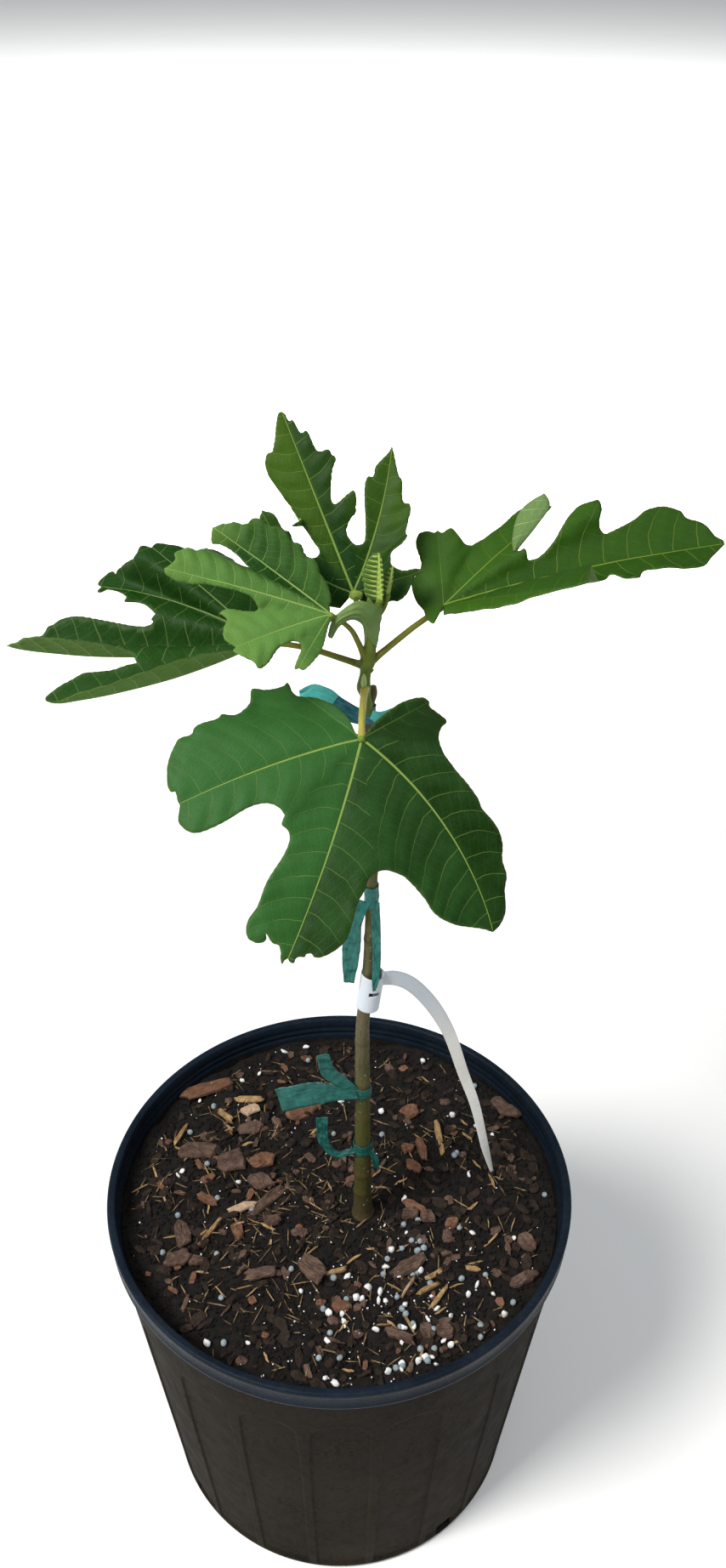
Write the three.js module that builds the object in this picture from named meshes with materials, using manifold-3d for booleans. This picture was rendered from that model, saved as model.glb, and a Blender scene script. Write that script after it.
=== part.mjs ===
// A young potted fig tree: a nursery pot full of bark mix, a thin woody trunk with a green shoot on top,
// five lobed leaves on their stalks, the unfolding leaves at the tip, a plant label and four tape ties.
// Millimetres, +Z up. The pot's axis is Z and its underside is at Z = 0. -Y is the front.
import * as THREE from "three";
import { mergeVertices } from "three/addons/utils/BufferGeometryUtils.js";
import Module from "manifold-3d";

const wasm = await Module();
wasm.setup();

const GAP = 0.3; // clearance between pieces that touch

// Pot
const POT_HEIGHT = 240;
const RIM_RADIUS = 139.7;
const RIM_BAND = 14; // height of the thick band round the mouth
const RIM_STEP = 1.8; // how far the band stands out from the wall
const MOUTH_RADIUS = 134.7;
const BASE_RADIUS = 113;
const BASE_BEVEL = 3;
const WALL = 2.4;
const FLOOR = 3;
const PANELS = 20; // tall arched panels pressed into the wall, with a rib between each two
const COLUMNS = 6; // columns of faces in a panel
const PANEL_EDGE = 7.6; // degrees from a panel's middle to its edge, of the 9 to the rib's crest
const PANEL_DEPTH = 1.1;
const PANEL_FOOT = 6;
const ARCH_SPRING = 185;
const ARCH_RISE = 13;
const DRAIN_HOLES = 4;
const DRAIN_FIRST = 36; // degrees round from the front, at the middle of a panel
const DRAIN_SIZE = [13, 16, 10];

// Potting mix
const SOIL_TOP = 224;
const SOIL_RELIEF = 1.6;
const SOIL_FLAT = 14; // radius of the level patch that the trunk stands in
const SOIL_SEGMENTS = 48;

// Trunk and shoot: centre line points and the radius at each
const TRUNK = [
  [[13.9, -13, SOIL_TOP + GAP], 6.8],
  [[13.9, -13, 229], 5.8],
  [[14, -12.8, 250], 5.3],
  [[14.1, -12.4, 282], 5],
  [[14.8, -12, 326], 4.5],
  [[14.3, -11.5, 382], 3.7],
  [[15.7, -11, 425], 3.1],
  [[16.5, -10.3, 470], 2.9],
  [[16.4, -10, 520], 2.7],
  [[15.2, -10, 562], 2.6],
  [[15.7, -9.6, 578], 2.6],
  [[16.4, -9.3, 587], 2.7],
  [[16.6, -9.2, 590.5], 1.9],
];
const SHOOT = [
  [[15.6, -10.6, 578], 2.2],
  [[13.2, -12.6, 585.5], 2.3],
  [[11.9, -13, 593], 2.4],
  [[13.2, -11.5, 604], 2.8],
  [[14.4, -10.8, 614], 2.2],
  [[15.6, -10.4, 624], 2],
  [[16.2, -10.2, 631], 1.6],
];

// Leaves. A blade is a flat pattern of lobes that fan out from the junction with the stalk, carried into
// space by each lobe's main vein. Lobes run from the blade's left to its right, seen from its upper side.
//   face     the way the upper side looks
//   stalk    centre line points from inside the shoot to the junction, thick and thin radius in stalkRadii
//   notches  where the margin turns in between lobes: [share of the way to the next lobe, radius]; the first
//            and the last are beside the stalk: [degrees past the outer lobe, radius]
//   lobe     tip of its main vein; arch and bow raise or side-step the vein's middle; foldLeft and foldRight
//            raise each half, in degrees, from foldFrom along the vein; spread turns it in the pattern;
//            left and right are the margin on each side: [share along the vein, distance out]
const BLADE = 1.8; // thickness
const LEAVES = {
  leaf_front: {
    junction: [10, -50, 588],
    face: [0.12, -0.62, 0.77],
    middle: 2,
    stalk: [[12.2, -13, 592], [11.3, -24, 592], [10.4, -38, 590.5], [10, -50, 587.2]],
    stalkRadii: [1.8, 1.4],
    notches: [[16, 3], [0.35, 34], [0.56, 57], [0.53, 47], [0.62, 51], [12, 3]],
    lobes: [
      { tip: [40, -30, 594], left: [[0.15, 1.5], [0.41, 4.5], [0.72, 6], [0.95, 3]], right: [[1.03, 12]] },
      {
        tip: [67, -92, 515], arch: 8, bow: 5,
        left: [[0.39, 25], [0.49, 26.5], [0.62, 25], [0.74, 19.5], [0.87, 12.7], [0.97, 6]],
        right: [[0.66, 22], [0.77, 21], [0.85, 17], [0.9, 10.5], [0.96, 4]],
      },
      {
        tip: [-21, -118, 524], arch: 4,
        left: [[0.67, 20], [0.76, 20.5], [0.85, 19.5], [0.91, 16], [0.97, 9], [1.01, 3.5]],
        right: [[0.51, 16], [0.64, 16.7], [0.81, 19], [0.9, 21], [0.97, 17.5], [0.96, 11], [0.95, 6]],
      },
      {
        tip: [-70, -74, 569], arch: 8, bow: 5,
        left: [[0.55, 12], [0.64, 9.5], [0.73, 10.5], [0.86, 13], [0.93, 12.5], [0.98, 6]],
        right: [[0.62, 31], [0.78, 29.5], [0.88, 25.5], [0.96, 17], [0.99, 9.5]],
      },
      { tip: [-21, -24, 599], left: [[1.2, 12]], right: [[0.31, 2.5], [0.51, 4.5], [0.68, 1.8]] },
    ],
  },
  leaf_left: {
    junction: [-34, -8, 613],
    face: [-0.1, -0.15, 1],
    middle: 1,
    stalk: [[12.6, -11.5, 601.5], [2, -11.5, 605.5], [-14, -10.5, 610.5], [-34, -8, 612.2]],
    stalkRadii: [1.6, 1.2],
    notches: [[60, 6], [0.37, 56], [0.5, 50], [0.62, 77], [75, 9]],
    lobes: [
      {
        tip: [-120, -46, 604], arch: -10, foldLeft: 60, foldRight: 36,
        left: [[0.12, 13], [0.35, 16], [0.6, 13], [0.8, 11], [0.95, 5]],
        right: [[0.7, 10.5], [0.82, 11.2], [0.9, 9.8], [0.97, 6]],
      },
      {
        tip: [-149, 2, 605], arch: -13, foldLeft: 62, foldRight: 42,
        left: [[0.6, 16], [0.75, 16], [0.86, 12], [0.95, 6]],
        right: [[0.53, 11.5], [0.63, 13], [0.75, 15.3], [0.85, 12], [0.93, 6]],
      },
      {
        tip: [-108, 25, 623], arch: 3,
        left: [[0.66, 5], [0.73, 4.2], [0.8, 6], [0.84, 3.4], [0.96, 1]],
        right: [[1.02, 5], [0.99, 10.5]],
      },
      { tip: [-84, 28, 641], arch: 3, left: [[1.03, 9.5], [1.04, 5]], right: [[0.3, 15], [0.5, 19], [0.71, 17], [0.9, 8]] },
    ],
  },
  leaf_near_left: {
    junction: [-3, -20, 632],
    face: [-0.05, -0.6, 0.8],
    middle: 2,
    stalk: [[12.9, -11.8, 606], [6, -14, 618], [1.5, -16.5, 625.5], [-3, -20, 631.2]],
    stalkRadii: [1.4, 1],
    notches: [[50, 3], [0.55, 23], [0.74, 33], [0.62, 40], [50, 4]],
    lobes: [
      { tip: [-16, -46, 620], arch: 2, left: [[0.33, 5], [0.57, 6], [0.78, 5.5], [0.95, 3.5]], right: [[0.85, 5], [0.98, 3]] },
      { tip: [-42, -44, 629], arch: 3, left: [[0.75, 9], [0.9, 11]], right: [[0.83, 14.5], [0.97, 15.5], [0.97, 10], [1.05, 4]] },
      {
        tip: [-71, -28, 657], arch: 3, foldLeft: -55,
        left: [[0.5, 5], [0.68, 7], [0.82, 7], [0.95, 4]],
        right: [[0.62, 14], [0.73, 16], [0.88, 12], [0.95, 8]],
      },
      {
        tip: [-53, 0, 663], arch: 2,
        left: [[0.8, 9], [0.92, 8]],
        right: [[0.08, 8], [0.22, 12], [0.33, 17], [0.5, 18.5], [0.66, 18], [0.8, 13.5], [0.92, 6]],
      },
    ],
  },
  leaf_top: {
    junction: [7, 2, 631],
    face: [-0.1, -0.85, 0.5],
    middle: 1,
    stalk: [[13.8, -11, 610], [12.5, -5, 618], [9.5, -0.5, 625], [7, 2.2, 630.6]],
    stalkRadii: [1.4, 1.1],
    notches: [[70, 9], [0.6, 22.5], [0.8, 22], [0.68, 22], [60, 10]],
    lobes: [
      { tip: [-33, 16, 664], bow: 12, spread: 14, left: [[0.2, 10], [0.45, 11], [0.7, 8], [0.9, 3]], right: [[0.6, 6], [0.8, 7], [0.93, 3]] },
      {
        tip: [-24, 44, 698],
        left: [
          [0.33, 9.3], [0.39, 14.5], [0.46, 23.7], [0.49, 26.2], [0.5, 20.9], [0.53, 15], [0.62, 18], [0.7, 20.5],
          [0.78, 17.5], [0.84, 11], [0.89, 7.4], [0.96, 3.6],
        ],
        right: [
          [0.3, 7], [0.34, 8.8], [0.38, 12], [0.44, 14.7], [0.49, 15], [0.46, 8.9], [0.46, 5.7], [0.56, 8.4],
          [0.69, 14.2], [0.74, 9.1], [0.78, 7.8], [0.85, 6.9], [0.87, 4.1], [0.94, 2.9],
        ],
      },
      {
        tip: [24.3, 34.5, 686], bow: -5,
        left: [[0.44, 5.1], [0.56, 7.1], [0.68, 8.8], [0.77, 9.2], [0.78, 6.8], [0.84, 5.9], [0.92, 2.9]],
        right: [
          [0.37, 13.1], [0.44, 17.4], [0.47, 14.6], [0.53, 14.3], [0.6, 13.4], [0.65, 11.6], [0.67, 9.3],
          [0.78, 6.2], [0.89, 3.5],
        ],
      },
      { tip: [39, -4, 645], left: [[0.7, 4], [0.87, 2.5]], right: [[0.3, 10], [0.53, 9], [0.72, 7], [0.8, 3.5]] },
    ],
  },
  leaf_right: {
    junction: [47, 0, 626],
    face: [-0.1, -0.25, 1],
    middle: 2,
    stalk: [[13.4, -11.4, 602.5], [22, -8.5, 609], [34, -4.5, 618], [47, 0, 625.2]],
    stalkRadii: [1.6, 1.2],
    notches: [[120, 9], [0.56, 32.5], [0.55, 45], [0.5, 46], [70, 6]],
    lobes: [
      { tip: [45, 26, 650], left: [[0.18, 12.4], [0.37, 12.8], [0.59, 9], [0.83, 10], [0.98, 7]], right: [[0.97, 7], [0.87, 9.5]] },
      { tip: [94, 36, 660], arch: 2, foldRight: 75, foldFrom: 0.55, left: [[0.57, 8.3], [0.75, 8], [0.9, 6]], right: [[0.66, 9.5], [0.8, 9], [0.93, 6]] },
      {
        tip: [175, 24, 644], arch: 7, foldLeft: 18, foldRight: 4,
        left: [
          [0.36, 10.4], [0.43, 15.2], [0.5, 17.8], [0.56, 20.4], [0.63, 23.3], [0.62, 18.7], [0.62, 15], [0.66, 15.4],
          [0.72, 18.9], [0.79, 21.9], [0.86, 22.1], [0.9, 15.6], [0.96, 11.1], [0.99, 5.7],
        ],
        right: [
          [0.54, 7.1], [0.57, 9.4], [0.59, 16.9], [0.62, 26], [0.65, 15.7], [0.7, 11.7], [0.78, 15.1], [0.86, 15.8],
          [0.96, 5.4],
        ],
      },
      { tip: [92, -34, 650], left: [[0.62, 12], [0.8, 11], [0.93, 6]], right: [[0.1, 5.2], [0.24, 6.7], [0.4, 8.1], [0.65, 7.8], [0.83, 4.7]] },
    ],
  },
};
// The two leaves that are still unfolding beside the shoot's tip: one folded lobe each
const YOUNG_LEAVES = {
  young_leaf_tall: {
    junction: [17.6, -11.4, 633.6],
    face: [-0.75, -0.6, 0.2],
    middle: 0,
    stalk: [[16, -10.4, 629], [16.8, -11, 631.6], [17.6, -11.4, 633.6]],
    stalkRadii: [1.3, 1.1],
    steps: 6,
    notches: [[110, 1.5], [110, 1.5]],
    lobes: [
      {
        tip: [19, -10.4, 655.5], foldLeft: 52, foldRight: 52,
        left: [[0.12, 4.5], [0.4, 6.8], [0.7, 5], [0.9, 2.5]],
        right: [[0.12, 4.5], [0.4, 6.8], [0.7, 5], [0.9, 2.5]],
      },
    ],
  },
  young_leaf_short: {
    junction: [21.6, -9, 634.5],
    face: [0.5, -0.8, 0.2],
    middle: 0,
    stalk: [[15.8, -10.4, 624.5], [19.6, -9.6, 628], [21.6, -9, 634.5]],
    stalkRadii: [1.1, 0.9],
    steps: 5,
    notches: [[110, 1.2], [110, 1.2]],
    lobes: [
      {
        tip: [24.6, -8.4, 647], foldLeft: 45, foldRight: 45,
        left: [[0.15, 2.4], [0.45, 3.4], [0.75, 2.2]],
        right: [[0.15, 2.4], [0.45, 3.4], [0.75, 2.2]],
      },
    ],
  },
};
const STEPS_ALONG = 11; // faces along a side of a lobe, at least
const STEPS_OUT = 3; // faces from the vein to the margin
const YOUNG_THICKNESS = 1;
const VEIN_REACH = 0.94; // share of a lobe that its rows of faces start from
const FOLD_ROUND = 3; // radius that a lobe's fold is rounded with
const BLEND_START = 2; // nearer to a vein than this, its lobe alone sets the surface
const BLEND_POWER = 4;

// Label: a sleeve strapped round the trunk, and its tail down to the mix
const SLEEVE_FOOT = [14.9, -11.4, 391];
const SLEEVE_TOP = [17.9, -11.2, 409];
const SLEEVE_RADIUS = 6.2;
const LABEL_THICKNESS = 0.9;
const TAIL = [
  [[22.6, -11.3, 408.5], 7],
  [[30, -9.5, 411.5], 8],
  [[37, -7, 407.5], 8],
  [[49, -2, 389.5], 8],
  [[60.5, 3.5, 361], 7.4],
  [[71.7, 8.5, 321], 6.6],
  [[80.5, 11, 290.8], 6],
  [[89.3, 14, 249.4], 5],
  [[95, 15.8, 225], 2.2],
];

// Ties: a band of tape round the trunk at each height, with its loose ends
const TAPE = 1;
const TIES = {
  tie_upper: {
    height: 572, band: 9,
    ends: [
      [[[12, -13.2, 573.5], 4], [[3, -14, 580], 7], [[-11, -14, 589], 13]],
      [[[18.3, -12.4, 573], 4], [[21.5, -13.6, 576.5], 6], [[25.8, -14, 579], 6.5]],
    ],
  },
  tie_middle: {
    height: 468, band: 10,
    ends: [
      [[[13, -13, 465], 6], [[8.5, -14, 455], 8.5], [[6.5, -14.5, 438], 9], [[5.5, -14.5, 417], 5]],
      [[[19, -12.5, 465], 5], [[20.6, -14, 450], 6], [[20.4, -15, 430], 5], [[19.6, -18.6, 412], 2.5]],
    ],
  },
  tie_lower: {
    height: 330, band: 7,
    ends: [
      [[[10.5, -16, 331], 5], [[0, -17, 333], 9], [[-14, -17, 333], 14], [[-34, -15.5, 326], 15]],
      [[[10.5, -15.8, 332.5], 4], [[1, -15.5, 341], 7], [[-6, -15, 348], 8], [[-9, -14.5, 361], 7]],
    ],
  },
  tie_foot: {
    height: 284, band: 8,
    ends: [
      [[[9.6, -15.5, 284], 4], [[-2, -18, 283.5], 4], [[-9, -17.5, 294], 6], [[-10, -16.5, 313], 7]],
      [[[18.8, -15.5, 283], 3], [[21.4, -16, 276], 4], [[22.2, -16, 268], 3]],
    ],
  },
};

const vec = ([x, y, z]) => new THREE.Vector3(x, y, z);
const degrees = THREE.MathUtils.degToRad;

// ---------------------------------------------------------------- solids

function solid(geometry) {
  const bare = geometry.clone();
  bare.deleteAttribute("normal");
  bare.deleteAttribute("uv");
  const merged = mergeVertices(bare, 1e-4);
  const mesh = new wasm.Mesh({
    numProp: 3,
    vertProperties: new Float32Array(merged.attributes.position.array),
    triVerts: new Uint32Array(merged.index.array),
  });
  return new wasm.Manifold(mesh);
}

function geometryOf(manifold) {
  const mesh = manifold.getMesh();
  const geometry = new THREE.BufferGeometry();
  geometry.setAttribute("position", new THREE.BufferAttribute(mesh.vertProperties, 3));
  geometry.setIndex(new THREE.BufferAttribute(mesh.triVerts, 1));
  geometry.computeVertexNormals();
  return geometry;
}

function closedGeometry(points, triangles) {
  const geometry = new THREE.BufferGeometry();
  geometry.setAttribute("position", new THREE.Float32BufferAttribute(points.flatMap((p) => p.toArray()), 3));
  geometry.setIndex(triangles.flat());
  return geometry;
}

// Joins rings of equally many points into a closed tube with a fan of faces on each end.
function tubeOfRings(rings) {
  const size = rings[0].length;
  const points = rings.flat();
  const triangles = [];
  for (let i = 0; i + 1 < rings.length; i += 1) {
    for (let j = 0; j < size; j += 1) {
      const a = i * size + j;
      const b = i * size + ((j + 1) % size);
      triangles.push([a, b, b + size], [a, b + size, a + size]);
    }
  }
  const last = points.length - size;
  for (let j = 1; j + 1 < size; j += 1) {
    triangles.push([0, j + 1, j], [last, last + j, last + j + 1]);
  }
  return closedGeometry(points, triangles);
}

// A limb tapers along a curve through its points. Its first and last cuts are level where flat is set.
function limb(points, radii, sides, steps, flat = false) {
  const curve = new THREE.CatmullRomCurve3(points.map(vec));
  const knots = radii.map((r, i) => new THREE.Vector2(i / (radii.length - 1), r));
  const taper = new THREE.SplineCurve(knots);
  const rings = [];
  for (let i = 0; i <= steps; i += 1) {
    const t = i / steps;
    const centre = curve.getPoint(t);
    const along = curve.getTangent(t);
    const up = flat && i === 0 ? new THREE.Vector3(0, 0, 1) : along;
    const side = new THREE.Vector3(1, 0.01, 0.02).cross(up).normalize();
    const other = up.clone().cross(side).normalize();
    const radius = taper.getPoint(t).y;
    const ring = [];
    for (let j = 0; j < sides; j += 1) {
      const turn = (j / sides) * 2 * Math.PI;
      const out = side.clone().multiplyScalar(Math.cos(turn)).addScaledVector(other, Math.sin(turn));
      ring.push(centre.clone().addScaledVector(out, radius));
    }
    rings.push(ring);
  }
  return tubeOfRings(rings);
}

// A flat strip of tape or label through its points, as wide as each point says, facing roughly the front.
function strip(stations, thickness, steps, facing = [0, -1, 0.35]) {
  const curve = new THREE.CatmullRomCurve3(stations.map(([point]) => vec(point)));
  const widths = new THREE.SplineCurve(stations.map(([, w], i) => new THREE.Vector2(i / (stations.length - 1), w)));
  const rings = [];
  for (let i = 0; i <= steps; i += 1) {
    const t = i / steps;
    const centre = curve.getPoint(t);
    const across = curve.getTangent(t).cross(vec(facing)).normalize();
    const through = curve.getTangent(t).cross(across).normalize().multiplyScalar(thickness / 2);
    across.multiplyScalar(widths.getPoint(t).y / 2);
    rings.push([[1, 1], [-1, 1], [-1, -1], [1, -1]].map(([a, b]) => (
      centre.clone().addScaledVector(across, a).addScaledVector(through, b))));
  }
  return tubeOfRings(rings);
}

// ---------------------------------------------------------------- leaves

// Works out each lobe's frame in space and its direction in the flat pattern.
function layOut(leaf) {
  const junction = vec(leaf.junction);
  const face = vec(leaf.face).normalize();
  const lobes = leaf.lobes.map((lobe) => {
    const tip = vec(lobe.tip);
    const along = tip.clone().sub(junction);
    const length = along.length();
    along.normalize();
    const across = face.clone().cross(along).normalize();
    const up = along.clone().cross(across);
    const middle = junction.clone().lerp(tip, 0.5)
      .addScaledVector(up, lobe.arch ?? 0)
      .addScaledVector(across, lobe.bow ?? 0);
    const vein = new THREE.QuadraticBezierCurve3(junction, middle, tip);
    return { ...lobe, along, across, length, vein };
  });
  const turns = lobes.map(() => 0);
  for (let i = leaf.middle + 1; i < lobes.length; i += 1) {
    turns[i] = turns[i - 1] - lobes[i].along.angleTo(lobes[i - 1].along);
  }
  for (let i = leaf.middle - 1; i >= 0; i -= 1) {
    turns[i] = turns[i + 1] + lobes[i].along.angleTo(lobes[i + 1].along);
  }
  lobes.forEach((lobe, i) => {
    lobe.turn = turns[i] + degrees(lobe.spread ?? 0);
    lobe.ahead = new THREE.Vector2(Math.cos(lobe.turn), Math.sin(lobe.turn));
    lobe.aside = new THREE.Vector2(-lobe.ahead.y, lobe.ahead.x);
  });
  return lobes;
}

// Where one lobe alone would carry a point of the flat pattern.
function onLobe(lobe, flat) {
  const share = flat.dot(lobe.ahead) / lobe.length;
  const out = flat.dot(lobe.aside);
  const held = THREE.MathUtils.clamp(share, 0, 1);
  const tangent = lobe.vein.getTangent(held);
  const across = lobe.across.clone().addScaledVector(tangent, -tangent.dot(lobe.across)).normalize();
  const up = tangent.clone().cross(across);
  const from = lobe.foldFrom ?? 0;
  const grown = lobe.foldFrom === undefined ? 1 : THREE.MathUtils.clamp((held - from) / (1 - from), 0, 1);
  const fold = degrees(((out > 0 ? lobe.foldLeft : lobe.foldRight) ?? 0) * grown);
  const rise = Math.hypot(out, FOLD_ROUND) - FOLD_ROUND;
  return lobe.vein.getPoint(held)
    .addScaledVector(tangent, (share - held) * lobe.length)
    .addScaledVector(across, out * Math.cos(fold))
    .addScaledVector(up, rise * Math.sin(fold));
}

// The blade's middle surface at a point of the flat pattern: the lobes' own surfaces, the nearest counting most.
function onBlade(lobes, flat) {
  const sum = new THREE.Vector3();
  let total = 0;
  for (const lobe of lobes) {
    const share = THREE.MathUtils.clamp(flat.dot(lobe.ahead), 0, lobe.length);
    const distance = flat.distanceTo(lobe.ahead.clone().multiplyScalar(share));
    const weight = 1 / (distance + BLEND_START) ** BLEND_POWER;
    sum.addScaledVector(onLobe(lobe, flat), weight);
    total += weight;
  }
  return sum.divideScalar(total);
}

function notchPoint(leaf, lobes, index) {
  const [share, radius] = leaf.notches[index];
  const last = lobes.length;
  let turn = 0;
  if (index === 0) turn = lobes[0].turn + degrees(share);
  else if (index === last) turn = lobes[last - 1].turn - degrees(share);
  else turn = THREE.MathUtils.lerp(lobes[index - 1].turn, lobes[index].turn, share);
  return new THREE.Vector2(Math.cos(turn), Math.sin(turn)).multiplyScalar(radius);
}

// The margin of one side of a lobe in the flat pattern, from the notch to the tip. It passes through each
// named point, and the longest spans between them are divided until there are enough steps.
function marginPoints(leaf, lobes, index, side, steps) {
  const lobe = lobes[index];
  const inPattern = ([share, out]) => lobe.ahead.clone().multiplyScalar(share * lobe.length)
    .addScaledVector(lobe.aside, side * out);
  const corners = [
    notchPoint(leaf, lobes, side > 0 ? index : index + 1),
    ...(side > 0 ? lobe.left : lobe.right).map(inPattern),
    inPattern([1, 0]),
  ];
  const curve = new THREE.CatmullRomCurve3(corners.map((p) => new THREE.Vector3(p.x, p.y, 0)));
  const spans = corners.slice(1).map((p, i) => p.distanceTo(corners[i]));
  const cuts = spans.map(() => 1);
  for (let spare = steps - spans.length; spare > 0; spare -= 1) {
    const pieces = spans.map((length, i) => length / cuts[i]);
    cuts[pieces.indexOf(Math.max(...pieces))] += 1;
  }
  const margin = [corners[0]];
  cuts.forEach((count, i) => {
    for (let j = 1; j <= count; j += 1) {
      const point = curve.getPoint((i + j / count) / spans.length);
      margin.push(new THREE.Vector2(point.x, point.y));
    }
  });
  return margin;
}

// The blade as a closed solid: rows of faces run from each main vein out to the margin, on both faces.
function bladeGeometry(leaf, thickness) {
  const lobes = layOut(leaf);
  const step = 0.2;
  const skin = (flat, height) => {
    const dx = onBlade(lobes, flat.clone().add(new THREE.Vector2(step, 0)))
      .sub(onBlade(lobes, flat.clone().add(new THREE.Vector2(-step, 0))));
    const dy = onBlade(lobes, flat.clone().add(new THREE.Vector2(0, step)))
      .sub(onBlade(lobes, flat.clone().add(new THREE.Vector2(0, -step))));
    return onBlade(lobes, flat).addScaledVector(dx.cross(dy).normalize(), height);
  };
  const points = [];
  const triangles = [];
  const quad = (a, b, c, d) => {
    const n = points.length;
    points.push(a, b, c, d);
    triangles.push([n, n + 1, n + 2], [n, n + 2, n + 3]);
  };
  const half = thickness / 2;
  lobes.forEach((lobe, index) => {
    const steps = Math.max(leaf.steps ?? STEPS_ALONG, lobe.left.length + 1, lobe.right.length + 1);
    for (const side of [1, -1]) {
      const margin = marginPoints(leaf, lobes, index, side, steps);
      const rows = margin.map((rim, j) => {
        const foot = lobe.ahead.clone().multiplyScalar((j / steps) * VEIN_REACH * lobe.length);
        const row = [];
        for (let k = 0; k <= STEPS_OUT; k += 1) row.push(foot.clone().lerp(rim, k / STEPS_OUT));
        return row;
      });
      for (let j = 0; j < steps; j += 1) {
        for (let k = 0; k < STEPS_OUT; k += 1) {
          const cell = [rows[j][k], rows[j + 1][k], rows[j + 1][k + 1], rows[j][k + 1]];
          if (side < 0) cell.reverse();
          quad(...cell.map((p) => skin(p, half)));
          quad(...cell.map((p) => skin(p, -half)).reverse());
        }
        const edge = side > 0 ? [rows[j + 1], rows[j]] : [rows[j], rows[j + 1]];
        const [from, to] = edge.map((row) => row[STEPS_OUT]);
        quad(skin(from, half), skin(from, -half), skin(to, -half), skin(to, half));
      }
    }
  });
  // the two short edges beside the stalk
  for (const [index, ends] of [[0, 1], [lobes.length, -1]]) {
    const notch = notchPoint(leaf, lobes, index);
    for (let k = 0; k < STEPS_OUT; k += 1) {
      const inner = notch.clone().multiplyScalar(k / STEPS_OUT);
      const outer = notch.clone().multiplyScalar((k + 1) / STEPS_OUT);
      const [from, to] = ends > 0 ? [outer, inner] : [inner, outer];
      quad(skin(from, half), skin(from, -half), skin(to, -half), skin(to, half));
    }
  }
  return closedGeometry(points, triangles);
}

function leafSolid(leaf, thickness) {
  const [thick, thin] = leaf.stalkRadii;
  const radii = leaf.stalk.map((_, i) => THREE.MathUtils.lerp(thick, thin, i / (leaf.stalk.length - 1)));
  const stalk = limb(leaf.stalk, radii, 8, 7);
  return solid(bladeGeometry(leaf, thickness)).add(solid(stalk));
}

// ---------------------------------------------------------------- pot and mix

const wallRadius = (z) => THREE.MathUtils.lerp(BASE_RADIUS, RIM_RADIUS - RIM_STEP, z / POT_HEIGHT);

function archHeight(offset) {
  const across = Math.min(Math.abs(offset) / PANEL_EDGE, 1);
  return ARCH_SPRING + ARCH_RISE * Math.sqrt(1 - across * across);
}

// The outside of the pot is turned on its axis, and the panels are then pressed in between the ribs.
function potOutside() {
  const bandFoot = POT_HEIGHT - RIM_BAND;
  const archSteps = [0, 0.35, 0.7, 0.95].map((share) => ARCH_SPRING + share * ARCH_RISE);
  const heights = [PANEL_FOOT, PANEL_FOOT + 6, 95, ...archSteps, ARCH_SPRING + ARCH_RISE + 3, bandFoot - 1];
  const profile = [
    [0, 0],
    [BASE_RADIUS - BASE_BEVEL, 0],
    [BASE_RADIUS, BASE_BEVEL],
    ...heights.map((z) => [wallRadius(z), z]),
    [RIM_RADIUS - 0.6, bandFoot],
    [RIM_RADIUS - 1.2, POT_HEIGHT - 5],
    [RIM_RADIUS, POT_HEIGHT - 3.5],
    [RIM_RADIUS, POT_HEIGHT - 1],
    [RIM_RADIUS - 1.2, POT_HEIGHT],
    [0, POT_HEIGHT],
  ];
  const lathe = new THREE.LatheGeometry(profile.map(([r, z]) => new THREE.Vector2(r, z)), PANELS * COLUMNS);
  lathe.rotateX(Math.PI / 2);
  const position = lathe.attributes.position;
  const pitch = 360 / PANELS;
  const crowd = (offset) => (Math.abs(offset) > 5 ? Math.sign(offset) * PANEL_EDGE : offset * 1.33);
  for (let i = 0; i < position.count; i += 1) {
    const x = position.getX(i);
    const y = position.getY(i);
    const z = position.getZ(i);
    const radius = Math.hypot(x, y);
    if (radius > 1) {
      const around = THREE.MathUtils.radToDeg(Math.atan2(x, -y));
      const panel = Math.round(around / pitch);
      const step = Math.round(around - panel * pitch);
      const onRib = Math.abs(step) >= pitch / 2 - 0.5;
      const offset = onRib ? step : crowd(step);
      const pressed = !onRib && z > PANEL_FOOT + 0.1 && z < archHeight(offset) - 0.1;
      const r = pressed ? radius - PANEL_DEPTH : radius;
      const turn = degrees(panel * pitch + offset);
      position.setXY(i, r * Math.sin(turn), -r * Math.cos(turn));
    }
  }
  return solid(lathe);
}

function turned(profile, segments) {
  const lathe = new THREE.LatheGeometry(profile.map(([r, z]) => new THREE.Vector2(r, z)), segments);
  return lathe.rotateX(Math.PI / 2);
}

const insideRadius = (z) => wallRadius(z) - PANEL_DEPTH - WALL;

function potSolid() {
  const stepFoot = POT_HEIGHT - RIM_BAND + 2;
  const hollow = turned([
    [0, FLOOR],
    [insideRadius(FLOOR), FLOOR],
    [insideRadius(stepFoot), stepFoot],
    [MOUTH_RADIUS - 1, stepFoot + 2],
    [MOUTH_RADIUS, POT_HEIGHT - 1],
    [MOUTH_RADIUS + 0.6, POT_HEIGHT + 1],
    [0, POT_HEIGHT + 1],
  ], 72);
  let pot = potOutside().subtract(solid(hollow));
  for (let i = 0; i < DRAIN_HOLES; i += 1) {
    const hole = new THREE.BoxGeometry(...DRAIN_SIZE);
    hole.translate(0, -BASE_RADIUS, FLOOR + DRAIN_SIZE[2] / 2);
    hole.rotateZ(degrees(DRAIN_FIRST + (i * 360) / DRAIN_HOLES));
    pot = pot.subtract(solid(hole));
  }
  return pot;
}

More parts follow.
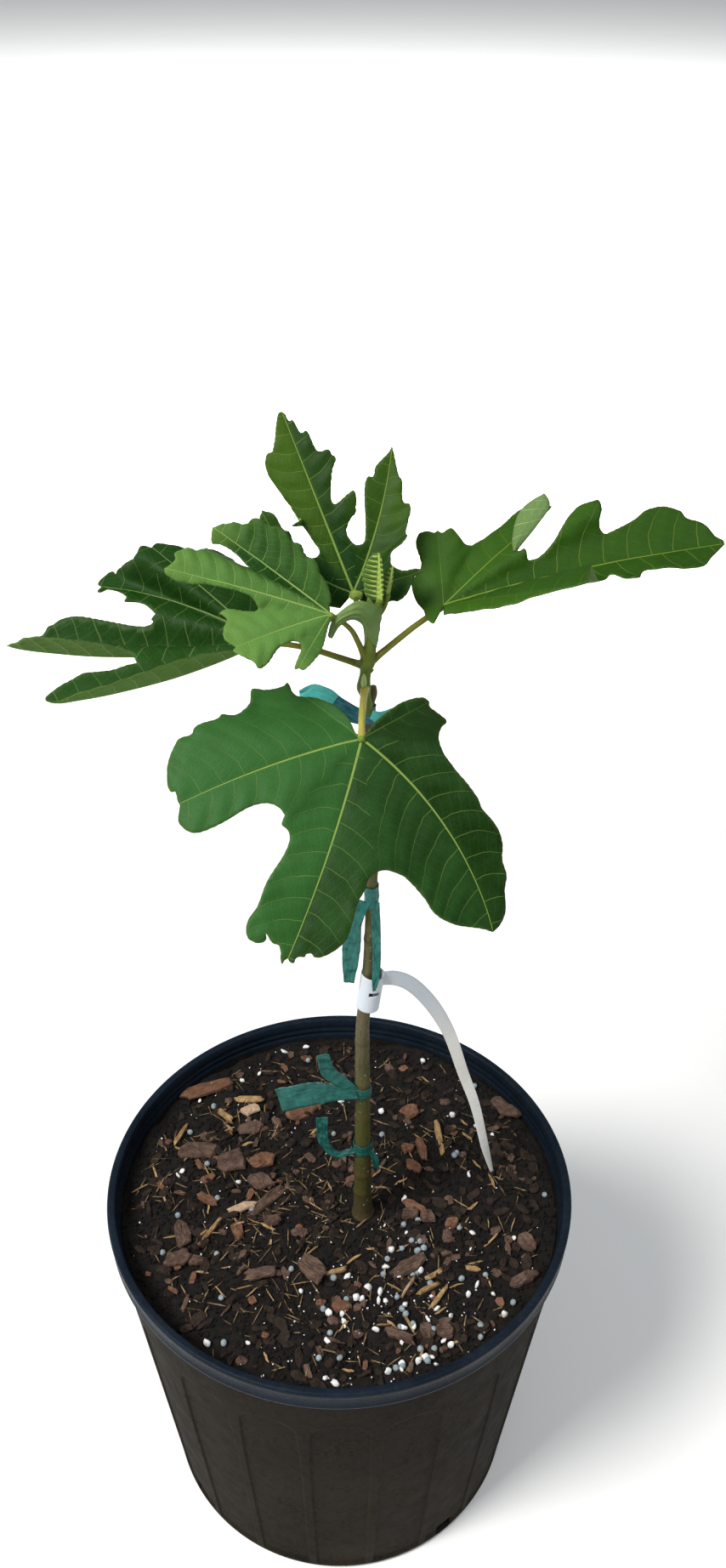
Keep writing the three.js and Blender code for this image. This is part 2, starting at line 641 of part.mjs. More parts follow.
// The mix fills the pot to SOIL_TOP, gently uneven but for the patch round the trunk.
function soilSolid() {
  const edge = insideRadius(SOIL_TOP) - GAP - 1;
  const foot = FLOOR + GAP;
  const rings = [1, 0.86, 0.7, 0.54, 0.38, 0.24].map((share) => [edge * share, SOIL_TOP]);
  const soil = turned([[0, foot], [insideRadius(foot) - GAP - 1, foot], ...rings, [0, SOIL_TOP]], SOIL_SEGMENTS);
  const position = soil.attributes.position;
  const [trunkX, trunkY] = TRUNK[0][0];
  for (let i = 0; i < position.count; i += 1) {
    if (position.getZ(i) > SOIL_TOP - 1) {
      const x = position.getX(i);
      const y = position.getY(i);
      const clear = Math.min(Math.max(Math.hypot(x - trunkX, y - trunkY) - SOIL_FLAT - 16, 0) / 20, 1);
      const wave = Math.sin(x * 0.071 + 1) * Math.cos(y * 0.083) + 0.6 * Math.sin((x + y) * 0.15);
      position.setZ(i, SOIL_TOP + clear * (wave - 0.6) * SOIL_RELIEF);
    }
  }
  return solid(soil);
}

// ---------------------------------------------------------------- label and ties

// A ring round the trunk between two centres, outside radius given, inside clear of the trunk.
function sleeve(low, high, outer, inner, sides) {
  const wall = (radius, lift) => {
    const axis = vec(high).sub(vec(low)).normalize();
    const ends = [vec(low).addScaledVector(axis, -lift), vec(high).addScaledVector(axis, lift)];
    return solid(limb(ends.map((p) => p.toArray()), [radius, radius], sides, 1));
  };
  return wall(outer, 0).subtract(wall(inner, 5));
}

function trunkPointAt(height) {
  const curve = new THREE.CatmullRomCurve3(TRUNK.map(([point]) => vec(point)));
  let low = 0;
  let high = 1;
  for (let i = 0; i < 30; i += 1) {
    const middle = (low + high) / 2;
    if (curve.getPoint(middle).z < height) low = middle;
    else high = middle;
  }
  const radii = new THREE.SplineCurve(TRUNK.map(([, r], i) => new THREE.Vector2(i / (TRUNK.length - 1), r)));
  return { centre: curve.getPoint(low), radius: radii.getPoint(low).y };
}

function labelSolid(trunkRoom) {
  const band = sleeve(SLEEVE_FOOT, SLEEVE_TOP, SLEEVE_RADIUS, SLEEVE_RADIUS - LABEL_THICKNESS, 16);
  const tail = solid(strip(TAIL, LABEL_THICKNESS, 18, [0.35, -1, 0.4]));
  return band.add(tail).subtract(trunkRoom);
}

function tieSolid(tie, trunkRoom) {
  const low = trunkPointAt(tie.height - tie.band / 2);
  const high = trunkPointAt(tie.height + tie.band / 2);
  const inner = Math.max(low.radius, high.radius) - 0.5;
  const outer = inner + 0.5 + GAP + TAPE;
  let tape = sleeve(low.centre.toArray(), high.centre.toArray(), outer, inner, 12);
  for (const end of tie.ends) {
    tape = tape.add(solid(strip(end, TAPE, 5)));
  }
  return tape.subtract(trunkRoom);
}

// ---------------------------------------------------------------- the whole plant

const limbArgs = (line) => [line.map(([point]) => point), line.map(([, radius]) => radius)];
const grown = (line, by) => line.map(([point, radius]) => [point, radius + by]);

const trunk = solid(limb(...limbArgs(TRUNK), 12, 26, true));
const trunkRoom = solid(limb(...limbArgs(grown(TRUNK, GAP)), 12, 26, true));
const shoot = solid(limb(...limbArgs(SHOOT), 10, 14)).subtract(trunkRoom);
const shootRoom = solid(limb(...limbArgs(grown(SHOOT, GAP)), 10, 14));

const look = (color, roughness, metalness = 0) => new THREE.MeshStandardMaterial({ color, roughness, metalness });
const LOOKS = {
  pot: look(0x25231f, 0.55),
  soil: look(0x2e221b, 0.95),
  bark: look(0x6b5b3a, 0.8),
  shoot: look(0x6f8a35, 0.6),
  darkLeaf: look(0x2c5a2a, 0.5),
  brightLeaf: look(0x4f8a38, 0.5),
  youngLeaf: look(0x9aba55, 0.6),
  label: look(0xe6e6e4, 0.4),
  tape: look(0x1c7d6f, 0.35),
};

const plant = new THREE.Group();
function addPart(name, manifold, material) {
  const mesh = new THREE.Mesh(geometryOf(manifold), material);
  mesh.name = name;
  plant.add(mesh);
}

addPart("pot", potSolid(), LOOKS.pot);
addPart("potting_mix", soilSolid(), LOOKS.soil);
addPart("trunk", trunk, LOOKS.bark);
addPart("green_shoot", shoot, LOOKS.shoot);
for (const [name, leaf] of Object.entries(LEAVES)) {
  const material = name === "leaf_near_left" || name === "leaf_top" ? LOOKS.brightLeaf : LOOKS.darkLeaf;
  addPart(name, leafSolid(leaf, BLADE).subtract(shootRoom), material);
}
for (const [name, leaf] of Object.entries(YOUNG_LEAVES)) {
  addPart(name, leafSolid(leaf, YOUNG_THICKNESS).subtract(shootRoom), LOOKS.youngLeaf);
}
addPart("plant_label", labelSolid(trunkRoom), LOOKS.label);
for (const [name, tie] of Object.entries(TIES)) {
  addPart(name, tieSolid(tie, trunkRoom), LOOKS.tape);
}

export default plant;
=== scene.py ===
"""A young fig tree in a nursery pot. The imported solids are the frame; this script makes what is seen."""
import math
import bmesh
import bpy
import numpy as np
from mathutils import Matrix
from mathutils.geometry import delaunay_2d_cdt


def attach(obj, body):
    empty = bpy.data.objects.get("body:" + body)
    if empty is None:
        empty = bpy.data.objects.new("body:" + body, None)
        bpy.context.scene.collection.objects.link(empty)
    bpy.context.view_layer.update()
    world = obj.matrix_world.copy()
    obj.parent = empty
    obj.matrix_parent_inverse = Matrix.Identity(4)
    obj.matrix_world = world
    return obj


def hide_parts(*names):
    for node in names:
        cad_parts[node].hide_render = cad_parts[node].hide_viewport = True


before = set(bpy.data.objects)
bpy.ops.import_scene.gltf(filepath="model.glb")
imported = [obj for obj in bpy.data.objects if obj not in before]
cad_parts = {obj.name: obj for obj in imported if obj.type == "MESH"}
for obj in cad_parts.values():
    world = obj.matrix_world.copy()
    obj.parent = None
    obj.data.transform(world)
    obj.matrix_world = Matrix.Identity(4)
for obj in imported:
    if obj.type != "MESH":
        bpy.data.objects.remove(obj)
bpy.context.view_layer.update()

MM = 0.001  # every size below is in millimetres
MERGE_REACH = 0.00001  # in metres
NEARLY_X = (1, 0.01, 0.02)  # a way that no stem or band runs along, to turn their rings from

# ---------------------------------------------------------------- sizes

POT_HEIGHT = 240.0
RIM_RADIUS = 139.7
RIM_STEP = 1.8  # how far the rim band stands out from the wall
RIM_FINISH = 223.5  # the smooth finish of the rim, with its bluish painted sky reflection, starts here
RIM_OUTSIDE = [  # radius and height up the outside of the rim band, over its bead
    (138.3, 225.6), (138.9, 226), (139.0, 226.8), (138.6, 228), (138.5, 231), (138.5, 234.5), (138.9, 235.6),
    (139.5, 236.2), (139.7, 237.2), (139.7, 238.6), (139.4, 239.4), (138.8, 239.9), (138.0, 240),
]
RIM_INSIDE = [  # and up the inside, over its two steps
    (132.9, 226.2), (133.0, 228.0), (133.7, 228.6), (133.9, 229.4), (133.3, 230.3), (133.4, 232.0),
    (134.1, 232.8), (134.2, 233.8), (133.9, 234.6), (134.3, 236.8), (134.7, 238.2), (135.0, 239.3),
    (135.8, 239.9),
]
BASE_RADIUS = 113.0
BASE_BEVEL = 3.0
WALL = 2.4
FLOOR = 3.0
PANELS = 20
PANEL_DEPTH = 1.1
PANEL_EDGE = 1.1
PANEL_COLUMNS = (  # degrees from a panel's middle
    0, 1.5, 3, 4.5, 5.8, 6.4, 6.7, 6.95, 7.2, 7.4, 7.6, 7.8, 8.0, 8.2, 8.5)
PANEL_FOOT = 6.0
PANEL_HEAD = 205.0  # the wall is plain above this
ARCH_SPRING = 185.0
ARCH_RISE = 13.0
RIB_HALF = 2.1  # half the width of the rib between two panels
RIB_SPREAD = 1.3  # and what it gains from this height, over this reach
RIB_SPREAD_START = 130.0
RIB_SPREAD_REACH = 60.0
DRAIN_TURNS = (36, 126, 216, 306)
DRAIN_HALF_TURN = 3.0  # degrees
DRAIN_ROWS = 4

SOIL_TOP = 224.0
SOIL_RELIEF = 1.6
MIX_CLEARANCE = 0.35  # between the mix and the wall, and a little less above the floor
TRUNK_FOOT = (13.9, -13.0)
STREW_CLEAR = 9.5  # nothing is strewn nearer than this to the trunk's foot
BITS_A_SET = 8

TRUNK = [
    ((13.8, -13, 224.3), 6.8), ((13.7, -13, 229), 5.8), ((13.6, -12.8, 250), 5.1), ((13.4, -12.4, 282), 4.7),
    ((13, -12, 326), 4.2), ((12.8, -11.5, 382), 3.7), ((15.7, -11, 425), 3.1), ((16.5, -10.3, 470), 2.9),
    ((16.2, -10, 520), 2.7), ((14.3, -10, 560), 2.5), ((13.8, -9.8, 574), 2.3), ((14.7, -9.4, 581), 1.9),
    ((15.8, -9.2, 586.5), 2.1), ((16, -9.1, 590), 1.4),
]
SHOOT = [
    ((14.2, -10.6, 577), 2.2), ((12.8, -12.4, 585.5), 2.3), ((11.7, -13, 592), 3), ((12.3, -12.4, 598), 2.5),
    ((13.2, -11.5, 605), 3.3), ((14.2, -11, 612), 2.5), ((15.4, -10.6, 622), 2.3), ((16.4, -10.4, 630), 2.2),
]

# Leaves, by the rule that the solids follow: lobes fan out from the junction in a flat pattern, and each
# lobe's main vein carries its part of the pattern into space. A margin is given from the notch to the tip, as
# shares of the lobe's length, each with how far out it lies. A notch is a share of the turn between two lobes,
# or degrees past the last one, and a radius.
# Each lobe also carries the brightness of its left and right half, about -1 to 1: partly the leaf's own
# colour, partly painted light and shade, lighter where a half faces the light, darker where it turns away.
LEAVES = {
    "leaf_front": dict(
        junction=(10, -50, 588), face=(0.12, -0.62, 0.77), middle=2,
        stalk=[(12.2, -13, 592), (11.3, -24, 592), (10.4, -38, 590.5), (10, -50, 587.2)],
        stalk_radii=(1.8, 1.4),
        notches=[(16, 3), (0.42, 34.5), (0.59, 58.5), (0.53, 47), (0.75, 54), (12, 3)],
        lobes=[
            dict(tip=(40, -30, 594), tone_and_painted_light=(-0.9, -0.95), vein=0.35,
                 left=[(0.26, 3.5), (0.7, 5.5), (0.84, 4.5), (0.97, 2.5)],
                 right=[(0.83, 16), (0.93, 13), (1.04, 11.5), (0.96, 2)]),
            dict(tip=(67, -92, 515), arch=8, bow=5, sway=5, tone_and_painted_light=(-0.95, -0.4),
                 left=[(0.27, 24), (0.49, 24), (0.53, 23), (0.6, 24), (0.66, 24), (0.71, 22), (0.76, 18.5),
                       (0.82, 17), (0.86, 13.5), (0.91, 11), (0.96, 8), (0.99, 3.5)],
                 right=[(0.5, 28), (0.54, 25), (0.58, 23), (0.65, 21.5), (0.78, 20.5), (0.83, 18),
                        (0.88, 14), (0.96, 4)]),
            dict(tip=(-21, -118, 524), arch=4, sway=2, tone_and_painted_light=(-0.6, 0.8),
                 left=[(0.58, 21), (0.63, 21), (0.69, 20), (0.86, 20), (0.95, 13), (0.96, 10), (0.95, 8.5),
                       (0.96, 6.5), (0.97, 6.5), (0.98, 4), (0.99, 3), (1.01, 3), (1.01, 1)],
                 right=[(0.47, 21), (0.49, 17.5), (0.52, 15.5), (0.59, 15.5), (0.72, 18.5), (0.84, 19),
                        (0.89, 20.5), (0.93, 20.5), (0.97, 18.5), (0.98, 15), (0.97, 12), (0.95, 11),
                        (0.93, 12), (0.96, 8), (0.96, 5.5), (0.99, 3.5), (1.01, 3), (1.03, 1.5),
                        (1.01, 1)]),
            dict(tip=(-70, -74, 569), arch=8, bow=5, sway=-4, end=0.955, tone_and_painted_light=(0.8, 1),
                 left=[(0.51, 15.5), (0.54, 12), (0.61, 10), (0.83, 13.5), (0.92, 13.5), (0.96, 10.5),
                       (0.98, 6.5), (0.97, 3.5)],
                 right=[(0.46, 33.5), (0.49, 31.5), (0.55, 30), (0.62, 32), (0.64, 31), (0.77, 30.5),
                        (0.8, 28), (0.87, 27.5), (0.96, 19), (0.98, 14), (0.99, 9), (0.98, 6.5), (0.96, 6),
                        (0.96, 2)]),
            dict(tip=(-21, -24, 599), tone_and_painted_light=(0.85, 0.85), vein=0.35,
                 left=[(1.25, 13), (1.14, 9), (1.05, 2), (1.05, -0.5)],
                 right=[(0.09, 0.5), (0.23, 3.5), (0.35, 4.5), (0.49, 4.5), (0.75, 1), (0.85, -2),
                        (0.91, -2)]),
        ]),
    "leaf_left": dict(
        junction=(-34, -8, 613), face=(-0.1, -0.15, 1), middle=1,
        stalk=[(12.6, -11.5, 601.5), (2, -11.5, 605.5), (-14, -10.5, 610.5), (-34, -8, 612.2)],
        stalk_radii=(1.6, 1.2),
        notches=[(60, 6), (0.35, 56), (0.65, 49.5), (0.62, 70.5), (75, 9)],
        lobes=[
            dict(tip=(-120, -46, 604), arch=-10, fold_left=60, fold_right=36, tone_and_painted_light=(1.2, 1.1),
                 left=[(0.12, 13), (0.35, 16), (0.8, 11), (0.95, 5)],
                 right=[(0.63, 10), (0.72, 10), (0.81, 11), (0.84, 11), (0.98, 6.5), (1.03, 2.5)]),
            dict(tip=(-149, 2, 605), arch=-13, fold_left=62, fold_right=42, tone_and_painted_light=(0.1, 0.3),
                 left=[(0.48, 16), (0.78, 17.5), (0.85, 17), (0.9, 15), (0.94, 11), (0.98, 5)],
                 right=[(0.43, 11), (0.42, 10.5), (0.45, 10), (0.75, 15.5), (0.81, 14.5), (0.83, 13),
                        (0.85, 12), (0.87, 8), (0.93, 5)]),
            dict(tip=(-108, 25, 623), arch=3, sway=-4, tone_and_painted_light=(-0.4, -0.4),
                 left=[(0.65, 5.5), (0.73, 4), (0.8, 6.5), (0.81, 3.5), (0.95, 0.5), (0.97, 4),
                       (0.99, 4.5)],
                 right=[(0.88, 15), (0.93, 14), (0.97, 12), (0.97, 10), (0.99, 11), (1.02, 9.5),
                        (1.03, 1)]),
            dict(tip=(-84, 28, 641), arch=3, tone_and_painted_light=(-0.5, -0.5),
                 left=[(1.03, 7), (1.05, 4.5), (1.05, 2)],
                 right=[(0.3, 15), (0.5, 19), (0.7, 15.5), (1, 3)]),
        ]),
    "leaf_near_left": dict(
        junction=(-3, -20, 632), face=(-0.05, -0.6, 0.8), middle=2,
        stalk=[(12.6, -12.3, 605), (9.3, -13.6, 614), (6.3, -15, 621), (1.8, -17.5, 627), (-3, -20, 631.2)],
        stalk_radii=(1.4, 1),
        notches=[(50, 3), (0.55, 23.5), (0.57, 32), (0.62, 39), (50, 4)],
        lobes=[
            dict(tip=(-16, -46, 620), arch=2, tone_and_painted_light=(-0.2, 0.4), vein=0.8,
                 left=[(0.18, 2), (0.65, 5), (0.87, 4), (1.01, 2)],
                 right=[(0.67, 6), (0.68, 4), (0.73, 3), (1.04, 1.5)]),
            dict(tip=(-42, -44, 629), arch=3, tone_and_painted_light=(1, 1.2),
                 left=[(0.54, 6.5), (0.66, 7.5), (0.82, 11.5), (0.92, 12.5), (0.94, 9), (1, 5.5),
                       (1.04, 1)],
                 right=[(0.69, 10), (0.93, 15), (1, 14.5), (0.96, 11.5), (1.03, 8.5), (1.06, 5),
                        (1.02, 1.5)]),
            dict(tip=(-71, -28, 657), arch=3, fold_left=-55, tone_and_painted_light=(1.1, 0.7),
                 left=[(0.43, 7), (0.48, 3.5), (0.54, 2.5), (0.74, 3), (0.89, 5), (0.99, 2.5)],
                 right=[(0.56, 11.5), (0.58, 12), (0.62, 14.5), (0.67, 16.5), (0.74, 16.5), (0.77, 15),
                        (0.78, 15.5), (0.84, 11.5), (0.87, 12), (0.95, 8.5), (0.96, 7), (0.95, 5),
                        (0.98, 1.5)]),
            dict(tip=(-53, 0, 663), arch=2, tone_and_painted_light=(-1, -0.6),
                 left=[(0.66, 5.5), (0.72, 4.5), (0.79, 4), (0.89, 5), (0.93, 6.5), (0.98, 2.5)],
                 right=[(0.05, 5), (0.13, 10), (0.19, 11.5), (0.23, 12), (0.29, 15), (0.33, 15.5),
                        (0.35, 14.5), (0.39, 14.5), (0.45, 17), (0.51, 15.5), (0.58, 17), (0.66, 16.5),
                        (0.68, 15), (0.8, 14), (0.82, 12.5), (0.82, 10.5), (0.83, 9), (0.9, 7), (0.93, 5),
                        (0.96, 3.5), (0.99, 0.5)]),
        ]),
    "leaf_top": dict(
        junction=(7, 2, 631), face=(-0.1, -0.85, 0.5), middle=1,
        stalk=[(13.8, -11, 610), (12.5, -5, 618), (9.5, -0.5, 625), (7, 2.2, 630.6)],
        stalk_radii=(1.4, 1.1),
        notches=[(70, 9), (0.34, 23), (0.58, 21), (0.62, 22.5), (60, 10)],
        lobes=[
            dict(tip=(-33, 16, 664), bow=12, spread=22, tone_and_painted_light=(-0.3, -0.5), vein=0.8,
                 left=[(0.2, 10), (0.45, 11), (0.7, 8), (0.96, 2), (0.98, 0.5)],
                 right=[(0.44, 5), (0.48, 4.5), (0.6, 5.5), (0.63, 4.5), (0.74, 6), (0.78, 4.5),
                        (0.91, 4.5), (0.95, 3.5), (0.97, 2)]),
            dict(tip=(-24, 44, 698), tone_and_painted_light=(0.8, -0.65),
                 left=[(0.25, 10), (0.28, 8.5), (0.31, 9.5), (0.35, 11.5), (0.41, 16.5), (0.39, 26),
                       (0.49, 18), (0.54, 16.5), (0.52, 16.5), (0.51, 20), (0.53, 13.5), (0.56, 14.5),
                       (0.65, 20), (0.68, 20), (0.73, 22), (0.74, 18.5), (0.78, 17), (0.83, 13),
                       (0.83, 10.5), (1, 1.5)],
                 right=[(0.24, 7), (0.3, 6.5), (0.36, 9.5), (0.39, 12.5), (0.42, 13.5), (0.44, 14.5),
                        (0.5, 15.5), (0.46, 8), (0.46, 6.5), (0.48, 6), (0.62, 11), (0.68, 14.5),
                        (0.7, 13.5), (0.73, 13), (0.74, 8.5), (0.86, 7), (0.86, 4.5), (0.94, 3),
                        (0.94, 1.5), (0.98, 1)]),
            dict(tip=(24.3, 34.5, 686), bow=-5, tone_and_painted_light=(0.35, 0.5),
                 left=[(0.31, 5), (0.33, 3.5), (0.37, 3.5), (0.68, 9), (0.76, 9), (0.78, 8), (0.78, 6.5),
                       (0.85, 6), (0.95, 1.5)],
                 right=[(0.31, 13), (0.39, 17), (0.44, 18), (0.46, 16), (0.55, 14), (0.59, 14), (0.65, 12),
                        (0.65, 9.5), (0.69, 8), (0.79, 6.5), (0.81, 5), (0.96, 1)]),
            dict(tip=(39, -4, 645), tone_and_painted_light=(-0.3, -0.3), vein=0.4,
                 left=[(0.58, 7), (0.69, 3), (0.86, 2)],
                 right=[(0.33, 9.5), (0.45, 8), (0.55, 9), (0.69, 7), (0.79, 2.5), (0.83, 1)]),
        ]),
    "leaf_right": dict(
        junction=(47, 0, 626), face=(-0.1, -0.25, 1), middle=2,
        stalk=[(13.4, -11.4, 602.5), (22, -8.5, 609), (34.2, -2, 616.4), (42.4, 1.6, 620.8), (47, 1, 624.8)],
        stalk_radii=(1.6, 1.2),
        notches=[(150, 11), (0.53, 32), (0.56, 45), (0.42, 68.5), (70, 6)],
        lobes=[
            dict(tip=(45, 26, 650), tone_and_painted_light=(0.9, 0.7), vein=0.7,
                 left=[(-0.25, 6.5), (-0.14, 8.5), (0.01, 9.5), (0.14, 12), (0.4, 13), (0.53, 8.5),
                       (0.88, 10), (0.98, 8), (1, 4.5), (0.97, 1.5)],
                 right=[(0.82, 11.5), (1.01, 6), (0.96, 2)]),
            dict(tip=(97.3, 36, 657), arch=2, tone_and_painted_light=(0.6, 0.8),
                 left=[(0.48, 12), (0.54, 11), (0.71, 10), (0.84, 10), (0.96, 3.5)],
                 right=[(0.6, 12), (0.63, 8), (0.59, 7), (0.59, 4.5), (0.62, 3), (0.7, 2), (0.95, 1)]),
            dict(tip=(175, 24, 644), arch=7, fold_left=18, fold_right=4, tone_and_painted_light=(0.1, -0.1),
                 left=[(0.35, 10.5), (0.41, 15), (0.51, 27.5), (0.54, 30), (0.6, 31), (0.61, 31),
                       (0.61, 26), (0.59, 21), (0.59, 17.5), (0.6, 15.5), (0.63, 16), (0.72, 20),
                       (0.76, 23), (0.79, 24), (0.83, 24.5), (0.86, 23), (0.89, 21), (0.9, 16.5),
                       (0.94, 14), (0.96, 10), (0.98, 5), (1, 2.5)],
                 right=[(0.54, 12.5), (0.56, 10), (0.57, 11), (0.61, 24), (0.63, 22), (0.65, 15.5),
                        (0.67, 12), (0.7, 11), (0.82, 15), (0.86, 16), (0.94, 7)]),
            dict(tip=(101.7, -25.8, 648), tone_and_painted_light=(-0.3, 0.9), vein=0.15,
                 left=[(1.04, 1)],
                 right=[(0.07, 5), (0.16, 6), (0.44, 7.5), (0.87, 1), (0.96, 0.5)]),
        ]),
}
YOUNG_LEAVES = {
    "young_leaf_tall": dict(
        junction=(18.4, -12, 634.5), face=(-0.15, -0.97, 0.2), middle=0,
        stalk=[(16, -10.4, 628), (17.4, -11.4, 631.4), (18.4, -12, 634.5)], stalk_radii=(1.4, 1.3),
        notches=[(95, 3.5), (110, 1.5)],
        lobes=[dict(tip=(17.6, -11.4, 656.2), fold_left=-14, fold_right=50, tone_and_painted_light=(0, 0),
                    left=[(0.03, 5.8), (0.12, 6.9), (0.3, 7.0), (0.5, 7.9), (0.6, 7.6), (0.66, 6.1),
                          (0.78, 5.4), (0.9, 3.9), (0.98, 1.9)],
                    right=[(0.12, 2.4), (0.4, 2.8), (0.7, 2.5), (0.92, 1.5)])]),
    "young_leaf_short": dict(
        junction=(21.9, -10, 635.8), face=(-0.3, -0.93, 0.2), middle=0,
        stalk=[(15.8, -10.4, 624.5), (20, -9.9, 629.5), (21.9, -10, 635.8)], stalk_radii=(1.2, 0.9),
        notches=[(100, 1.6), (110, 0.8)],
        lobes=[dict(tip=(23.8, -9.4, 649.5), fold_left=-10, fold_right=40, tone_and_painted_light=(0.3, 0.3),
                    left=[(0.12, 2.8), (0.4, 3.9), (0.7, 2.8), (0.9, 1.2)],
                    right=[(0.15, 1.0), (0.5, 1.3), (0.85, 0.7)])]),
}
FOLD_ROUND = 3.0  # how softly a lobe folds at its main vein
KEEL_REACH = 12.0  # a blade's halves rise to this far out from the main vein
BLEND_START = 2.0  # lobes blend by one over their distance and this, to this power
BLEND_POWER = 4
HEART_SHADE_REACH = 28.0  # how far the painted shade round the junction spreads

# How each leaf's surface is worked up: margin teeth (length, height), ripple of the margin, swelling between
# side veins, thickness, spacing of its points, gap between side veins, rise of the halves beside a main vein,
# and where they differ from the others the arch of the side veins and the painted shade round the junction.
LEAF_WORK = {
    "leaf_front": dict(teeth=(3.2, 0.14), ripple=0.8, swell=0.2, thick=0.8, pitch=1.35,
                       vein_gap=10, keel=0.16),
    "leaf_left": dict(teeth=(3, 0.15), ripple=0.6, swell=0.22, thick=0.8, pitch=1.35, vein_gap=10, keel=0.1),
    "leaf_near_left": dict(teeth=(2.4, 0.2), ripple=0.5, swell=0.3, thick=0.7, pitch=1.1,
                           vein_gap=7, keel=0.16),
    "leaf_top": dict(teeth=(2.6, 0.18), ripple=0.4, swell=0.28, thick=0.7, pitch=1.15,
                     vein_gap=8.5, keel=0.16, heart_shade=1.2),
    "leaf_right": dict(teeth=(3.4, 0.14), ripple=0.6, swell=0.22, thick=0.8, pitch=1.35,
                       vein_gap=11, keel=0.1),
    "young_leaf_tall": dict(teeth=(2, 0.25), ripple=0.1, swell=0.55, thick=0.6, pitch=0.4,
                            vein_gap=2.3, keel=0, arc=0.3),
    "young_leaf_short": dict(teeth=(1.6, 0.2), ripple=0.1, swell=0.4, thick=0.5, pitch=0.4,
                             vein_gap=2.1, keel=0, arc=0.3),
}
FEWEST_VEINS = 4.0  # to a side of a lobe
MOST_VEINS = 20.0  # the Lobe pattern carries a lobe's number of side veins as a share of this
VEIN_SLANT = 0.05  # side veins leave the main vein nearly square, in lobe lengths
VEIN_ARC = 2.3  # and arch towards the tip
VEIN_STAGGER = 0.22  # of a gap, between the two sides

SLEEVE_FOOT = (15.2, -11.4, 394.5)
SLEEVE_TOP = (17.9, -11.2, 417.5)
SLEEVE_RADIUS = 6.2
SLEEVE_SLOT = (-11, 46, 0.5, 0.6)  # first and last turn in degrees, then low and high share of the sleeve
LABEL_THICKNESS = 0.6
TAIL = [  # points of the tail with the width there
    ((22.6, -11.3, 413.6), 7.5), ((29.3, -9.8, 412.4), 8), ((37, -7.2, 406.6), 8), ((48.6, -2, 388.6), 8),
    ((60.5, 3.5, 361), 7.4), ((71.7, 8.5, 321), 6.6), ((80.5, 11, 290.8), 6), ((89.3, 14, 249.4), 5),
    ((95, 15.8, 225), 2.2),
]
TIES = {  # height and width of the band, its look, and the loose ends: look, then points with the width there
    "tie_upper": dict(height=576, band=9, look="blue", ends=[
        ("blue", [((12, -13.2, 575.5), 7), ((6, -14, 578.5), 8), ((0.6, -14.2, 582.2), 8.5),
                  ((-3, -14, 585), 8.5)]),
        ("cyan", [((-2, -14.6, 584.6), 8.5), ((-6, -14.5, 587.6), 9), ((-10.6, -14, 589.6), 8),
                  ((-17.3, -13.6, 589), 3)]),
        ("cyan", [((15.2, -13.3, 577.5), 4), ((19.5, -14, 576.4), 5.5), ((25.2, -14, 578.8), 5)])]),
    "tie_middle": dict(height=469, band=13, look="teal", ends=[
        ("teal", [((12.5, -13, 467.5), 7), ((7.8, -14, 457), 9), ((6.4, -14.5, 438), 9.4),
                  ((5.2, -14.5, 414), 5.5)]),
        ("teal", [((18.3, -13, 467), 4.4), ((19, -14.2, 450), 4.6), ((19.4, -15.8, 430), 4.4),
                  ((18.9, -18.2, 419), 3.6), ((18.3, -18.4, 411.6), 1.5)])]),
    "tie_lower": dict(height=330, band=7, look="green", ends=[
        ("green", [((10.5, -16, 331), 5), ((0, -17, 333), 9), ((-14, -17, 333), 14),
                   ((-34, -15.5, 326), 15)]),
        ("green", [((10.5, -15.8, 332.5), 4), ((1, -15.5, 341), 7), ((-6, -15, 348), 8),
                   ((-9, -14.5, 361), 7)])]),
    "tie_foot": dict(height=284, band=8, look="green", ends=[
        ("green", [((9.6, -15.5, 284), 4), ((-2, -18, 283.5), 4), ((-9, -17.5, 294), 6),
                   ((-10, -16.5, 313), 7)]),
        ("green", [((18, -15.3, 283), 3), ((20.6, -16, 276), 4), ((21.4, -16, 268), 3)])]),
}
TAPE = 0.45  # thickness
TAPE_CLEARANCE = 0.35  # between a band and the bark

# ---------------------------------------------------------------- meshes from arrays


def smooth_step(x):
    x = np.clip(x, 0, 1)
    return x * x * (3 - 2 * x)


def unit(v):
    v = np.asarray(v, float)
    return v / np.linalg.norm(v, axis=-1, keepdims=True)


def make_piece(name, points, faces, materials, face_material=None, uv=None, values=None, smooth=True,
               second_uv=None):
    """A mesh object from points in millimetres. uv has a pair a face corner, values have a number a point."""
    mesh = bpy.data.meshes.new(name)
    mesh.from_pydata((np.asarray(points, float) * MM).tolist(), [], [list(map(int, f)) for f in faces])
    for material in materials:
        mesh.materials.append(material)
    if face_material is not None:
        mesh.polygons.foreach_set("material_index", np.asarray(face_material, np.int32))
    mesh.polygons.foreach_set("use_smooth", np.full(len(mesh.polygons), smooth))
    if uv is not None:
        layer = mesh.uv_layers.new(name="UVMap")
        layer.data.foreach_set("uv", np.asarray(uv, np.float32).ravel())
    if second_uv is not None:
        layer = mesh.uv_layers.new(name="Lobe")
        layer.data.foreach_set("uv", np.asarray(second_uv, np.float32).ravel())
    for key, data in (values or {}).items():
        attribute = mesh.attributes.new(key, "FLOAT", "POINT")
        attribute.data.foreach_set("value", np.asarray(data, np.float32))
    mesh.validate()
    mesh.update()
    return put_in(name, mesh)


def put_in(name, data):
    """A new object in the scene, for a mesh, a lamp or a camera."""
    thing = bpy.data.objects.new(name, data)
    bpy.context.scene.collection.objects.link(thing)
    return thing


